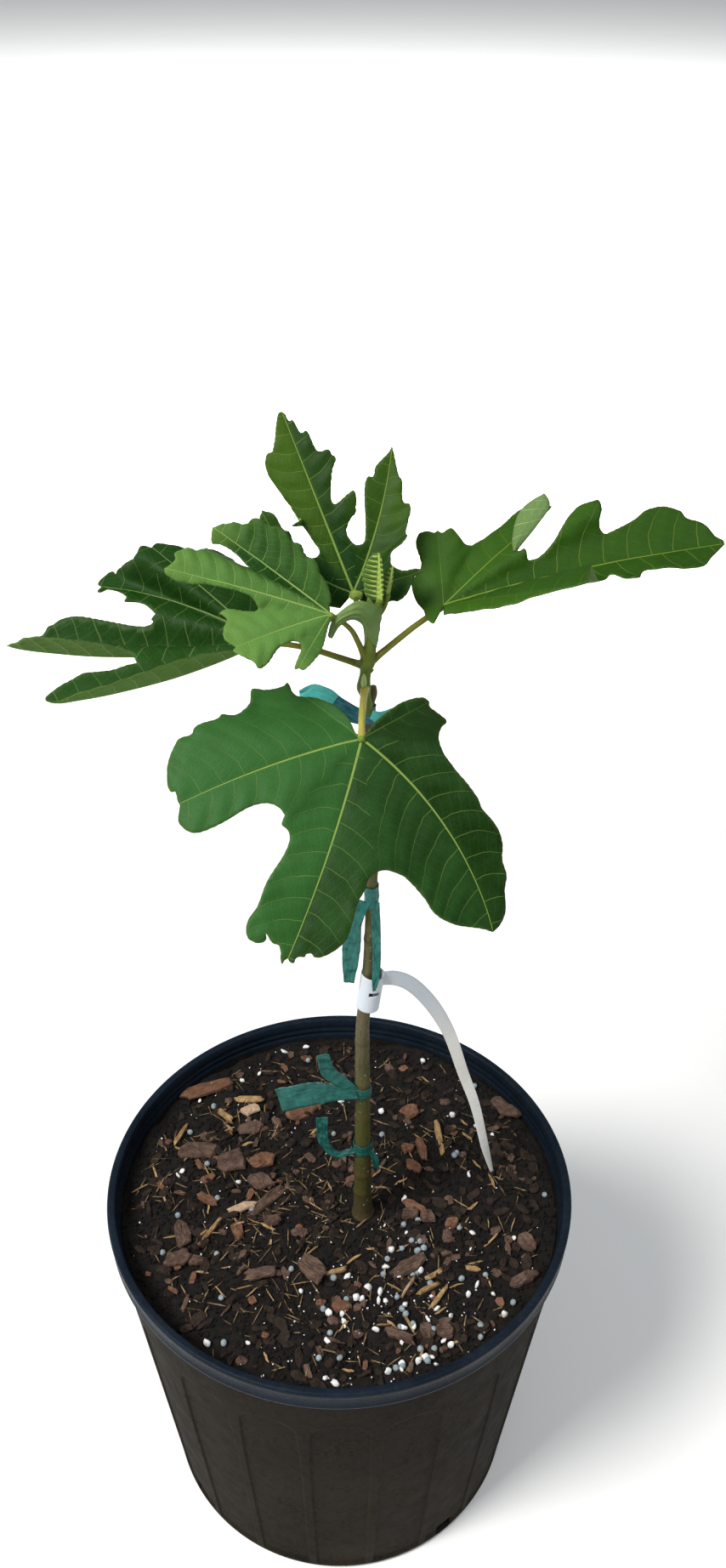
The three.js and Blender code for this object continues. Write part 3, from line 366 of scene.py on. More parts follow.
def merge_close(piece):
    work = bmesh.new()
    work.from_mesh(piece.data)
    bmesh.ops.remove_doubles(work, verts=work.verts, dist=MERGE_REACH)
    bmesh.ops.dissolve_degenerate(work, edges=work.edges, dist=MERGE_REACH)
    work.to_mesh(piece.data)
    work.free()


def lump(size, rng, rough, level):
    """A ball of the given three sizes, made uneven by that share."""
    work = bmesh.new()
    bmesh.ops.create_icosphere(work, subdivisions=level, radius=0.5)
    made = np.array([v.co[:] for v in work.verts])
    faces = [[v.index for v in face.verts] for face in work.faces]
    work.free()
    wave = bumps(int(rng.integers(999)), *(made.T * 5))
    wobble = 1 + rough * wave + rough * 0.5 * rng.uniform(-1, 1, len(made))
    return made * wobble[:, None] * size, faces


def ring_turns(sides):
    return np.linspace(0, 2 * np.pi, sides, endpoint=False)


def grid_faces(rows, columns, offset=0, flip=False):
    """Quads between closed rings of points laid out row by row."""
    i, j = np.meshgrid(np.arange(rows - 1), np.arange(columns), indexing="ij")
    right = (j + 1) % columns
    a, b = i * columns + j, i * columns + right
    c, d = (i + 1) * columns + right, (i + 1) * columns + j
    quads = np.stack([a, d, c, b] if flip else [a, b, c, d], -1).reshape(-1, 4)
    return quads + offset


def double_wall(hole, foot=False):
    """Faces of a wall with an outer and an inner skin, closed along its top and, where asked, its foot. hole
    marks the cells that are open, and they get sides too."""
    rows, columns = hole.shape[0] + 1, hole.shape[1]
    inner = rows * columns
    top = inner - columns
    solid = ~hole.reshape(-1)
    faces = grid_faces(rows, columns)[solid].tolist()
    faces += grid_faces(rows, columns, inner, flip=True)[solid].tolist()
    for j in range(columns):
        k = (j + 1) % columns
        faces.append([top + j, top + k, top + k + inner, top + j + inner])
        if foot:
            faces.append([j, j + inner, k + inner, k])
    for i, j in zip(*np.nonzero(hole)):
        k = (j + 1) % columns
        a, b, c, d = i * columns + j, i * columns + k, (i + 1) * columns + k, (i + 1) * columns + j
        beside = ((i - 1, j), (i, k), (i + 1, j), (i, j - 1))
        for cell, (p, q) in zip(beside, ((a, b), (b, c), (c, d), (d, a))):
            if not hole[cell]:
                faces.append([p, q, q + inner, p + inner])
    return faces


def closed_sheet(middle, through, thickness, at):
    """A thin closed sheet about a grid of points, with thinner edges, and its pattern in centimetres."""
    rows, columns = middle.shape[:2]
    u = np.linspace(-1, 1, columns)
    half = thickness / 2 * (1 - 0.6 * u[None, :] ** 8)[..., None]
    top, bottom = middle - through * half, middle + through * half
    rings = np.concatenate([top, bottom[:, ::-1]], axis=1)
    count = 2 * columns
    faces = grid_faces(rows, count, flip=True).tolist()
    faces += [[j, j + 1, count - 2 - j, count - 1 - j] for j in range(columns - 1)]
    base = (rows - 1) * count
    faces += [[base + v for v in (j, count - 1 - j, count - 2 - j, j + 1)] for j in range(columns - 1)]
    uv_rows = np.concatenate([u, u[::-1]])
    uv = [(uv_rows[v % count] * 0.5, at[v // count] / 10) for face in faces for v in face]
    return rings.reshape(-1, 3), faces, uv


def catmull(points, at):
    """Points at the shares `at` (0 to 1) of a centripetal Catmull-Rom curve, which the solids follow too."""
    p = np.asarray(points, float)
    ends = np.vstack([2 * p[0] - p[1], p, 2 * p[-1] - p[-2]])
    at = np.clip(np.asarray(at, float), 0, 1) * (len(p) - 1)
    i = np.minimum(at.astype(int), len(p) - 2)
    w = (at - i)[:, None]
    x0, x1, x2, x3 = ends[i], ends[i + 1], ends[i + 2], ends[i + 3]
    d0, d1, d2 = (np.maximum(np.linalg.norm(b - a, axis=1), 1e-8)[:, None] ** 0.5
                  for a, b in ((x0, x1), (x1, x2), (x2, x3)))
    t1 = ((x1 - x0) / d0 - (x2 - x0) / (d0 + d1) + (x2 - x1) / d1) * d1
    t2 = ((x2 - x1) / d1 - (x3 - x1) / (d1 + d2) + (x3 - x2) / d2) * d1
    return x1 + t1 * w + (-3 * x1 + 3 * x2 - 2 * t1 - t2) * w ** 2 + (2 * x1 - 2 * x2 + t1 + t2) * w ** 3


def travel(line):
    """The length travelled along a polyline at each of its points."""
    return np.concatenate([[0], np.cumsum(np.linalg.norm(np.diff(line, axis=0), axis=1))])


def even_steps(line, step):
    """The polyline cut again into equal steps of about that length, and the length travelled at each."""
    total = travel(line)
    count = max(int(round(total[-1] / step)), 2)
    at = np.linspace(0, total[-1], count + 1)
    return np.stack([np.interp(at, total, line[:, k]) for k in range(line.shape[1])], -1), at


def bumps(seed, *coordinates):
    """Smooth seeded noise from a few waves, about -1 to 1."""
    rng = np.random.default_rng(seed)
    total = 0
    for octave in range(5):
        ways = unit(rng.normal(size=len(coordinates))) * (1 + 0.8 * octave)
        phase = rng.uniform(0, 2 * np.pi)
        total = total + np.sin(sum(w * c for w, c in zip(ways, coordinates)) + phase) / (1 + 0.5 * octave)
    return total / 2.2


def tube(line, radii, sides, step, relief):
    """Rings along the curve through the line. relief(share, turn, length) is added to the radius."""
    path, _ = even_steps(catmull(line, np.linspace(0, 1, 40 * len(line))), step)
    share = np.linspace(0, 1, len(path))
    fine = np.linspace(0, 1, 400)
    travelled = travel(catmull(line, fine))
    index = np.interp(share * travelled[-1], travelled, fine)
    radius = catmull(np.array(radii, float)[:, None], index)[:, 0]
    along = unit(np.gradient(path, axis=0))
    side = unit(np.cross(NEARLY_X, along))
    other = unit(np.cross(along, side))
    turn = ring_turns(sides)
    length = share * travelled[-1]
    r = radius[:, None] + relief(share[:, None], turn[None, :], length[:, None])
    out = side[:, None] * np.cos(turn)[None, :, None] + other[:, None] * np.sin(turn)[None, :, None]
    rings = path[:, None] + out * r[..., None]
    points = np.vstack([rings.reshape(-1, 3), path[:1], path[-1:]])
    body = grid_faces(len(path), sides).tolist()
    first, last = len(points) - 2, len(points) - 1
    base = (len(path) - 1) * sides
    caps = [[first, (j + 1) % sides, j] for j in range(sides)]
    caps += [[last, base + j, base + (j + 1) % sides] for j in range(sides)]
    return points, body + caps


# ---------------------------------------------------------------- shader groups


class Board:
    """Short ways to place and join nodes in one node tree."""

    def __init__(self, tree):
        self.tree = tree

    def place(self, kind, inputs=None, **settings):
        made = self.tree.nodes.new(kind)
        for key, value in settings.items():
            setattr(made, key, value)
        for key, value in (inputs or {}).items():
            self.feed(made.inputs[key], value)
        return made

    def feed(self, socket, value):
        if isinstance(value, bpy.types.NodeSocket):
            self.tree.links.new(value, socket)
        else:
            socket.default_value = value

    def math(self, operation, *values, clamp=False):
        made = self.place("ShaderNodeMath", operation=operation, use_clamp=clamp)
        for i, value in enumerate(values):
            self.feed(made.inputs[i], value)
        return made.outputs[0]

    def times(self, first, second):
        return self.math("MULTIPLY", first, second)

    def times_plus(self, first, second, added, clamp=False):
        return self.math("MULTIPLY_ADD", first, second, added, clamp=clamp)

    def minus(self, first, second):
        return self.math("SUBTRACT", first, second)

    def vector(self, operation, *values):
        made = self.place("ShaderNodeVectorMath", operation=operation)
        for i, value in enumerate(values):
            self.feed(made.inputs[i], value)
        return made.outputs

    def ease(self, value, low, high, to_low=0.0, to_high=1.0):
        made = self.place("ShaderNodeMapRange", {0: value, 1: low, 2: high, 3: to_low, 4: to_high},
                          interpolation_type="SMOOTHSTEP")
        return made.outputs[0]

    def mix(self, share, first, second):
        """The second colour laid over the first by that share. A plain colour is red, green and blue."""
        made = self.place("ShaderNodeMix", data_type="RGBA")
        for i, value in ((0, share), (6, first), (7, second)):
            self.feed(made.inputs[i], (*value, 1) if isinstance(value, tuple) else value)
        return made.outputs[2]

    def ramp(self, value, *stops):
        made = self.place("ShaderNodeValToRGB", {0: value})
        band = made.color_ramp.elements
        while len(band) < len(stops):
            band.new(0.5)
        for stop, (where, colour) in zip(band, stops):
            stop.position = where
            stop.color = (*colour, 1)
        return made.outputs[0]

    def noise(self, place, scale, detail=3.0, rough=0.5):
        return self.place("ShaderNodeTexNoise", {"Vector": place, "Scale": scale, "Detail": detail,
                                                 "Roughness": rough}).outputs[0]

    def parts(self, vector):
        return self.place("ShaderNodeSeparateXYZ", {0: vector}).outputs

    def joined(self, x, y, z):
        return self.place("ShaderNodeCombineXYZ", {0: x, 1: y, 2: z}).outputs[0]

    def here(self):
        """The place in the part, in metres, as every piece sits at the origin."""
        return self.place("ShaderNodeTexCoord").outputs["Object"]

    def pattern(self, layer="UVMap"):
        return self.place("ShaderNodeUVMap", uv_map=layer).outputs[0]

    def mark(self, name):
        """A value that the piece carries at its points."""
        return self.place("ShaderNodeAttribute", attribute_name=name).outputs["Fac"]

    def run(self, group, **inputs):
        made = self.place("ShaderNodeGroup", node_tree=group)
        for key, value in inputs.items():
            self.feed(made.inputs[key.replace("_", " ")], value)
        return made.outputs


def new_group(name, vector, numbers, results):
    """A shader group with one vector input, the numbers with their usual values, and results from 0 to 1."""
    group = bpy.data.node_groups.new(name, "ShaderNodeTree")
    group.interface.new_socket(vector, in_out="INPUT", socket_type="NodeSocketVector")
    for label, value in numbers.items():
        socket = group.interface.new_socket(label, in_out="INPUT", socket_type="NodeSocketFloat")
        socket.default_value = value
    for label in results:
        group.interface.new_socket(label, in_out="OUTPUT", socket_type="NodeSocketFloat")
    board = Board(group)
    return group, board, board.place("NodeGroupInput").outputs, board.place("NodeGroupOutput").inputs


def build_mottle():
    """Soft blotches and fine specks over a surface."""
    group, b, given, out = new_group("mottle", "Place", {"Blotch Scale": 40, "Speck Scale": 900},
                                     ("Blotch", "Speck"))
    blotch = b.noise(given["Place"], given["Blotch Scale"], 4.0, 0.55)
    speck = b.noise(given["Place"], given["Speck Scale"], 2.0, 0.6)
    b.feed(out["Blotch"], b.ease(blotch, 0.3, 0.7))
    b.feed(out["Speck"], b.ease(speck, 0.35, 0.65))
    return group


def build_leaf_veins():
    """The veins of a lobe, from its own pattern: x along the main vein and y out from it, in lobe lengths."""
    group, b, given, out = new_group(
        "leaf veins", "Pattern",
        {"Side Veins": 8, "Main Width": 0.011, "Side Width": 0.0042, "Arc": VEIN_ARC},
        ("Main", "Side", "Net", "Grain"))
    pattern = given["Pattern"]
    straight = b.parts(pattern)
    waver = b.place("ShaderNodeTexNoise", {"Vector": pattern, "Scale": 7.0, "Detail": 2.0}).outputs["Color"]
    waver = b.vector("SUBTRACT", waver, (0.5, 0.5, 0.5))[0]
    place = b.parts(b.vector("MULTIPLY_ADD", waver, (0.035, 0.035, 0.0), pattern)[0])
    main_width = b.times(given["Main Width"], b.ease(straight["X"], 0.0, 1.0, 1.0, 0.35))
    out_from = b.math("DIVIDE", b.math("ABSOLUTE", straight["Y"]), main_width)
    b.feed(out["Main"], b.minus(1.0, b.ease(out_from, 0.55, 1.0)))
    # side veins leave the main vein at a slant and curve towards the tip
    away = b.math("ABSOLUTE", place["Y"])
    slant = b.times_plus(away, -VEIN_SLANT, place["X"])
    start = b.times_plus(b.times(away, away), b.times(given["Arc"], -1.0), slant)
    count = b.times_plus(b.math("SIGN", straight["Y"]), VEIN_STAGGER, b.times(start, given["Side Veins"]))
    part = b.math("ABSOLUTE", b.minus(b.math("FRACT", count), 0.5))
    near = b.math("DIVIDE", b.minus(0.5, part), given["Side Veins"])
    side_width = b.times(given["Side Width"], b.ease(away, 0.0, 0.3, 1.0, 0.4))
    side = b.minus(1.0, b.ease(b.math("DIVIDE", near, side_width), 0.4, 1.0))
    b.feed(out["Side"], b.times(side, b.ease(start, 0.02, 0.08)))
    # a loose ladder between the side veins, and the fine mesh inside it
    ladder = b.times_plus(b.math("FLOOR", count), 0.37, b.times(b.times_plus(place["X"], 0.5, away), 22.0))
    rung = b.minus(0.5, b.math("ABSOLUTE", b.minus(b.math("FRACT", ladder), 0.5)))
    rungs = b.minus(1.0, b.ease(rung, 0.02, 0.075))
    mesh = b.place("ShaderNodeTexVoronoi", {"Vector": pattern, "Scale": 62.0}, feature="DISTANCE_TO_EDGE")
    cells = b.minus(1.0, b.ease(mesh.outputs["Distance"], 0.0, 0.12))
    b.feed(out["Net"], b.math("MAXIMUM", b.times(rungs, 0.8), b.times(cells, 0.45)))
    b.feed(out["Grain"], b.noise(pattern, 160.0, 2.0, 0.6))
    return group


def build_streaks():
    """Streaks that run along Y of the given place, as in split wood and bark."""
    group, b, given, out = new_group("streaks", "Place", {"Scale": 60, "Stretch": 0.12}, ("Streak", "Fleck"))
    drawn = b.vector("MULTIPLY", given["Place"], b.joined(1.0, given["Stretch"], 1.0))[0]
    b.feed(out["Streak"], b.ease(b.noise(drawn, given["Scale"], 4.0, 0.6), 0.25, 0.75))
    b.feed(out["Fleck"], b.ease(b.noise(given["Place"], b.times(given["Scale"], 3.0), 2.0), 0.5, 0.75))
    return group


MOTTLE = build_mottle()
LEAF_VEINS = build_leaf_veins()
STREAKS = build_streaks()


def new_material(name, roughness, specular):
    material = bpy.data.materials.new(name)
    material.use_nodes = True
    shader = material.node_tree.nodes["Principled BSDF"].inputs
    shader["Roughness"].default_value = roughness
    shader["Specular IOR Level"].default_value = specular
    return material, Board(material.node_tree), shader


def lay_finish(b, shader, colour, rough, height, depth, strength):
    """Joins a colour, a roughness and a bump of that depth in metres to the shader."""
    b.feed(shader["Base Color"], colour)
    b.feed(shader["Roughness"], rough)
    bump = b.place("ShaderNodeBump", {"Height": height, "Distance": depth, "Strength": strength})
    b.feed(shader["Normal"], bump.outputs[0])


def dimmed(colour, share):
    return tuple(c * share for c in colour)


def leaf_material(name, deep_and_shaded, fresh_and_lit, vein, vein_share, roughness, upper=True, tip_tint=None,
                  widths=(0.0085, 0.0036), arc=VEIN_ARC):
    """A leaf's skin from its darker to its brighter green, by its own blotches and by painted light and shade,
    with veins of that colour, strength and width.
    """
    material, b, shader = new_material(name, roughness, 0.09 if upper else 0.08)
    pattern = b.pattern()
    lobe = b.parts(b.pattern("Lobe"))
    veins = b.run(LEAF_VEINS, Pattern=pattern, Side_Veins=b.times(lobe["X"], MOST_VEINS),
                  Main_Width=widths[0], Side_Width=widths[1], Arc=arc)
    main_vein = b.times(veins["Main"], lobe["Y"])
    mottle = b.run(MOTTLE, Place=b.here(), Blotch_Scale=55.0, Speck_Scale=1500.0)
    # the brighter green comes from random blotches and from the brightness mark, which is partly painted light
    # and shade
    freshness_and_painted_light = b.times_plus(mottle["Blotch"], 0.24, b.times_plus(b.mark("tone_and_painted_light"), 0.5, 0.38), clamp=True)
    colour = b.mix(freshness_and_painted_light, deep_and_shaded, fresh_and_lit)
    colour = b.mix(b.times(mottle["Speck"], 0.14), colour, dimmed(deep_and_shaded, 0.7))
    if tip_tint is not None:
        colour = b.mix(b.ease(b.parts(pattern)["X"], 0.7, 1.0, 0.0, 0.5), colour, tip_tint)
    main_share, side_share, net_share = vein_share
    colour = b.mix(b.times(veins["Net"], net_share), colour, vein)
    colour = b.mix(b.times(veins["Side"], side_share), colour, vein)
    colour = b.mix(b.times(main_vein, main_share), colour, vein)
    edge = tuple(0.6 * c + 0.4 * v for c, v in zip(deep_and_shaded, vein))
    colour = b.mix(b.times(b.mark("rim"), 0.35), colour, edge)
    rough = b.times_plus(mottle["Blotch"], 0.12, roughness - 0.06)
    rough = b.times_plus(mottle["Speck"], 0.08, rough)
    way = -1.0 if upper else 1.0
    height = b.times(main_vein, 0.9 * way)
    height = b.times_plus(veins["Side"], 0.55 * way, height)
    height = b.times_plus(veins["Net"], 0.22 * way, height)
    height = b.times_plus(veins["Grain"], 0.3, height)
    lay_finish(b, shader, colour, rough, height, 0.0004, 0.75)
    return material


FRONT_UPPER = leaf_material("leaf_front_upper", (0.0035, 0.019, 0.0006), (0.0205, 0.083, 0.016),
                            (0.16, 0.235, 0.05), (0.9, 0.3, 0.05), 0.46, widths=(0.0072, 0.003))
LEFT_UPPER = leaf_material("leaf_left_upper", (0.003, 0.024, 0.001), (0.0125, 0.049, 0.006),
                           (0.14, 0.2, 0.06), (0.85, 0.4, 0.08), 0.46)
RIGHT_UPPER = leaf_material("leaf_right_upper", (0.006, 0.029, 0.0008), (0.0225, 0.069, 0.004),
                            (0.13, 0.19, 0.03), (0.85, 0.34, 0.06), 0.46, widths=(0.006, 0.003))
NEAR_UPPER = leaf_material("leaf_near_upper", (0.002, 0.028, 0.0008), (0.07, 0.162, 0.032), (0.2, 0.3, 0.075),
                           (0.9, 0.45, 0.12), 0.46, tip_tint=(0.085, 0.165, 0.03))
TOP_UPPER = leaf_material("leaf_top_upper", (0.002, 0.021, 0.0004), (0.03, 0.07, 0.003),
                          (0.125, 0.195, 0.035), (0.9, 0.34, 0.07), 0.46)
# A darker copy of the underside: partly the leaves' own darker colour, partly painted shade where undersides
# lie in shade.
DARK_SHADED_UNDER = leaf_material("leaf_dark_shaded_under", (0.04, 0.09, 0.013), (0.07, 0.15, 0.028), (0.2, 0.26, 0.09),
                           (0.9, 0.6, 0.3), 0.75, upper=False)
PALE_UNDER = leaf_material("leaf_pale_under", (0.13, 0.22, 0.07), (0.2, 0.33, 0.12), (0.36, 0.46, 0.2),
                           (0.9, 0.6, 0.3), 0.75, upper=False)
RIGHT_UNDER = leaf_material("leaf_right_under", (0.066, 0.118, 0.031), (0.105, 0.172, 0.06),
                            (0.25, 0.34, 0.15), (0.9, 0.75, 0.2), 0.75, upper=False)
YOUNG_UPPER = leaf_material("young_leaf_upper", (0.03, 0.075, 0.008), (0.06, 0.125, 0.02), (0.3, 0.4, 0.09),
                            (1.0, 0.85, 0.1), 0.55, widths=(0.095, 0.034), arc=0.3)
YOUNG_UNDER = leaf_material("young_leaf_under", (0.16, 0.25, 0.06), (0.22, 0.32, 0.09), (0.42, 0.52, 0.2),
                            (0.95, 0.75, 0.2), 0.7, upper=False, widths=(0.08, 0.03), arc=0.3)


def stalk_material(name, first, second, streak):
    """Soft green skin between two tones, with streaks of a third along it."""
    material, b, shader = new_material(name, 0.5, 0.2)
    mottle = b.run(MOTTLE, Place=b.here(), Blotch_Scale=70.0, Speck_Scale=1800.0)
    streaks = b.run(STREAKS, Place=b.pattern(), Scale=14.0, Stretch=0.1)
    colour = b.mix(mottle["Blotch"], first, second)
    colour = b.mix(b.times(streaks["Streak"], 0.45), colour, streak)
    colour = b.mix(b.times(mottle["Speck"], 0.2), colour, dimmed(first, 0.5))
    rough = b.times_plus(mottle["Blotch"], 0.15, 0.42)
    lay_finish(b, shader, colour, rough, b.math("ADD", streaks["Streak"], mottle["Speck"]), 0.00012, 0.8)
    return material


GREEN_STEM = stalk_material("green_stem", (0.065, 0.115, 0.008), (0.115, 0.18, 0.018), (0.12, 0.11, 0.018))
STALK_PALE = stalk_material("stalk_pale", (0.25, 0.26, 0.035), (0.34, 0.31, 0.06), (0.33, 0.2, 0.06))
STALK_GREEN = stalk_material("stalk_green", (0.11, 0.125, 0.008), (0.165, 0.175, 0.02), (0.15, 0.115, 0.018))
SHEATH_SKIN = stalk_material("sheath_skin", (0.065, 0.125, 0.018), (0.125, 0.205, 0.065), (0.11, 0.17, 0.045))
BUD_SKIN = stalk_material("bud_skin", (0.2, 0.3, 0.07), (0.36, 0.46, 0.16), (0.26, 0.36, 0.1))
KNOB_SKIN = stalk_material("knob_skin", (0.13, 0.2, 0.025), (0.2, 0.28, 0.05), (0.12, 0.19, 0.03))


def bark_material():
    """Olive-brown young bark, greyer in the middle, with pale pores and dark scars."""
    material, b, shader = new_material("young_bark", 0.7, 0.12)
    place = b.here()
    streaks = b.run(STREAKS, Place=b.pattern(), Scale=12.0, Stretch=0.1)
    mottle = b.run(MOTTLE, Place=place, Blotch_Scale=75.0, Speck_Scale=1300.0)
    zone = b.times_plus(b.minus(mottle["Blotch"], 0.5), 0.03, b.parts(place)["Z"])
    # Low down the dark olive stops are partly the bark's own colour, partly painted shade.
    base = b.ramp(b.math("DIVIDE", b.minus(zone, SOIL_TOP * MM), 0.37),  # from the mix up to the stub
                  (0.0, (0.04, 0.026, 0.011)), (0.08, (0.036, 0.034, 0.004)), (0.18, (0.042, 0.047, 0.003)),
                  (0.3, (0.042, 0.044, 0.009)), (0.44, (0.1, 0.084, 0.05)), (0.52, (0.088, 0.08, 0.04)),
                  (0.62, (0.075, 0.083, 0.028)), (0.8, (0.082, 0.088, 0.028)), (1.0, (0.1, 0.088, 0.035)))
    base = b.mix(b.times(streaks["Fleck"], 0.4), base, (0.19, 0.175, 0.12))
    base = b.mix(b.times(streaks["Streak"], 0.5), base, (0.026, 0.022, 0.01))
    base = b.mix(b.times(mottle["Speck"], 0.16), base, (0.16, 0.14, 0.06))
    tall = b.vector("MULTIPLY", place, (1.0, 1.0, 0.6))[0]
    pores = b.place("ShaderNodeTexVoronoi", {"Vector": tall, "Scale": 420.0}).outputs
    chosen = b.place("ShaderNodeSeparateColor", {0: pores["Color"]}).outputs[0]
    pore = b.minus(1.0, b.ease(pores["Distance"], 0.16, 0.28))
    pore = b.times(pore, b.math("GREATER_THAN", chosen, 0.8))
    base = b.mix(b.times(pore, 0.5), base, (0.3, 0.27, 0.17))
    base = b.mix(b.times(b.mark("scar"), 0.75), base, (0.07, 0.035, 0.02))
    lift = b.times_plus(pore, 1.2, b.times(streaks["Streak"], -0.8))
    lay_finish(b, shader, base, b.times_plus(streaks["Streak"], 0.2, 0.55), lift, 0.0002, 0.9)
    return material


BARK = bark_material()


def pot_material(name, first, second, roughness, specular, dust_share, worn):
    """Moulded plastic with soft blotches, a little dust, and a paler scuffed foot where asked."""
    material, b, shader = new_material(name, roughness, specular)
    place = b.here()
    mottle = b.run(MOTTLE, Place=place, Blotch_Scale=14.0, Speck_Scale=420.0)
    fine = b.run(MOTTLE, Place=place, Blotch_Scale=90.0, Speck_Scale=2500.0)
    colour = b.mix(mottle["Blotch"], first, second)
    dust = b.times(mottle["Speck"], b.times(fine["Blotch"], dust_share))
    colour = b.mix(dust, colour, (0.15, 0.13, 0.1))
    low = b.times(b.ease(b.parts(place)["Z"], 0.0, 0.05, 1.0, 0.0), b.times(mottle["Blotch"], worn))
    colour = b.mix(low, colour, (0.05, 0.04, 0.028))
    rough = b.times_plus(fine["Blotch"], 0.14, roughness - 0.07)
    height = b.math("ADD", fine["Speck"], b.times(fine["Blotch"], 2.0))
    lay_finish(b, shader, colour, rough, height, 0.00006, 0.6)
    return material


POT_WALL = pot_material("pot_wall", (0.0085, 0.0066, 0.0045), (0.014, 0.011, 0.0075), 0.6, 0.02, 0.07, 0.25)
# The rim is dark plastic; its bluish tint is a painted reflection of the sky.
POT_RIM_PAINTED_SHEEN = pot_material("pot_rim_painted_sheen", (0.004, 0.0075, 0.013), (0.008, 0.014, 0.024), 0.3, 0.045, 0.03, 0.0)


def grit_material(name, first, second, roughness, scale, streak=0.0, streak_colour=(0.02, 0.01, 0.005)):
    """For mix, chips, splinters and grains: two tones, specks, and streaks along the piece where asked."""
    material, b, shader = new_material(name, roughness, 0.25)
    mottle = b.run(MOTTLE, Place=b.here(), Blotch_Scale=scale, Speck_Scale=scale * 6)
    colour = b.mix(mottle["Blotch"], first, second)
    colour = b.mix(b.times(mottle["Speck"], 0.2), colour, dimmed(first, 0.45))
    height = b.math("ADD", mottle["Blotch"], mottle["Speck"])
    if streak:
        streaks = b.run(STREAKS, Place=b.pattern(), Scale=1.1, Stretch=0.14)
        colour = b.mix(b.times(streaks["Streak"], streak), colour, streak_colour)
        height = b.times_plus(streaks["Streak"], -1.5, height)
    lay_finish(b, shader, colour, b.times_plus(mottle["Speck"], 0.15, roughness - 0.07), height, 0.0003, 0.8)
    return material


SOIL = grit_material("potting_mix", (0.0028, 0.0021, 0.0016), (0.008, 0.0055, 0.004), 0.92, 260.0)
CRUMB_DARK = grit_material("crumb_dark", (0.0025, 0.0019, 0.0014), (0.0085, 0.006, 0.0042), 0.9, 500.0)
CRUMB_BROWN = grit_material("crumb_brown", (0.016, 0.009, 0.0055), (0.055, 0.032, 0.019), 0.9, 500.0)
CHIP_RED = grit_material("bark_chip_red", (0.13, 0.058, 0.032), (0.22, 0.11, 0.065), 0.75, 200.0, 0.45)
CHIP_BROWN = grit_material("bark_chip_brown", (0.075, 0.042, 0.03), (0.16, 0.1, 0.075), 0.8, 200.0, 0.55)
CHIP_DARK = grit_material("bark_chip_dark", (0.008, 0.0055, 0.004), (0.034, 0.021, 0.015), 0.85, 200.0, 0.5)
SPLINTER = grit_material("wood_splinter", (0.27, 0.155, 0.06), (0.5, 0.34, 0.17), 0.75, 260.0, 0.45,
                         (0.1, 0.05, 0.02))
PALE_WOOD = grit_material("pale_wood", (0.42, 0.29, 0.19), (0.55, 0.42, 0.3), 0.7, 260.0, 0.4,
                          (0.25, 0.13, 0.06))
STRAW = grit_material("dry_fibre", (0.09, 0.055, 0.026), (0.3, 0.21, 0.105), 0.8, 300.0)
PERLITE = grit_material("perlite", (0.85, 0.85, 0.84), (0.93, 0.93, 0.93), 0.85, 600.0)
BEAD = grit_material("feed_bead", (0.2, 0.25, 0.27), (0.34, 0.41, 0.44), 0.45, 400.0)


def label_material():
    """Blank plastic label: clean and bluish near the sleeve, dusty and speckled lower down, its lower end
    painted paler as painted light over the shade it lies in.
    """
    material, b, shader = new_material("label_plastic", 0.35, 0.5)
    place = b.here()
    height = b.parts(place)["Z"]
    mottle = b.run(MOTTLE, Place=place, Blotch_Scale=60.0, Speck_Scale=900.0)
    # painted light: below the middle the tail is painted near white where it lies in shade
    colour = b.mix(b.ease(height, 0.27, 0.33), (0.93, 0.93, 0.9), (0.7, 0.69, 0.64))
    colour = b.mix(b.ease(height, 0.34, 0.4), colour, (0.45, 0.5, 0.56))
    colour = b.mix(b.times(mottle["Blotch"], 0.2), colour, (0.5, 0.5, 0.47))
    grime = b.times(mottle["Speck"], b.ease(height, 0.27, 0.4, 0.16, 0.06))
    colour = b.mix(grime, colour, (0.2, 0.18, 0.14))
    soiled = b.times(b.ease(height, SOIL_TOP * MM, 0.235, 0.9, 0.0), mottle["Blotch"])
    colour = b.mix(soiled, colour, (0.06, 0.04, 0.03))
    lay_finish(b, shader, colour, b.times_plus(mottle["Blotch"], 0.2, 0.3), mottle["Speck"], 0.00006, 0.6)
    return material


def tape_material(name, first, second, pale):
    """Stretchy tape between two tones, with paler creases."""
    material, b, shader = new_material(name, 0.3, 0.3)
    mottle = b.run(MOTTLE, Place=b.here(), Blotch_Scale=130.0, Speck_Scale=1200.0)
    streaks = b.run(STREAKS, Place=b.pattern(), Scale=9.0, Stretch=0.12)
    colour = b.mix(mottle["Blotch"], first, second)
    colour = b.mix(b.times(streaks["Streak"], 0.3), colour, pale)
    rough = b.times_plus(streaks["Streak"], 0.2, 0.22)
    lay_finish(b, shader, colour, rough, b.math("ADD", streaks["Streak"], mottle["Blotch"]), 0.0003, 0.7)
    return material


LABEL = label_material()
TAPE_CYAN = tape_material("tape_cyan", (0.02, 0.26, 0.25), (0.05, 0.38, 0.36), (0.2, 0.55, 0.52))
TAPE_TEAL = tape_material("tape_teal", (0.002, 0.05, 0.045), (0.006, 0.11, 0.09), (0.02, 0.24, 0.2))
TAPE_BLUE = tape_material("tape_blue", (0.001, 0.03, 0.05), (0.004, 0.075, 0.11), (0.06, 0.3, 0.34))
TAPE_GREEN = tape_material("tape_green", (0.001, 0.035, 0.03), (0.005, 0.07, 0.058), (0.03, 0.19, 0.16))

# ---------------------------------------------------------------- leaves


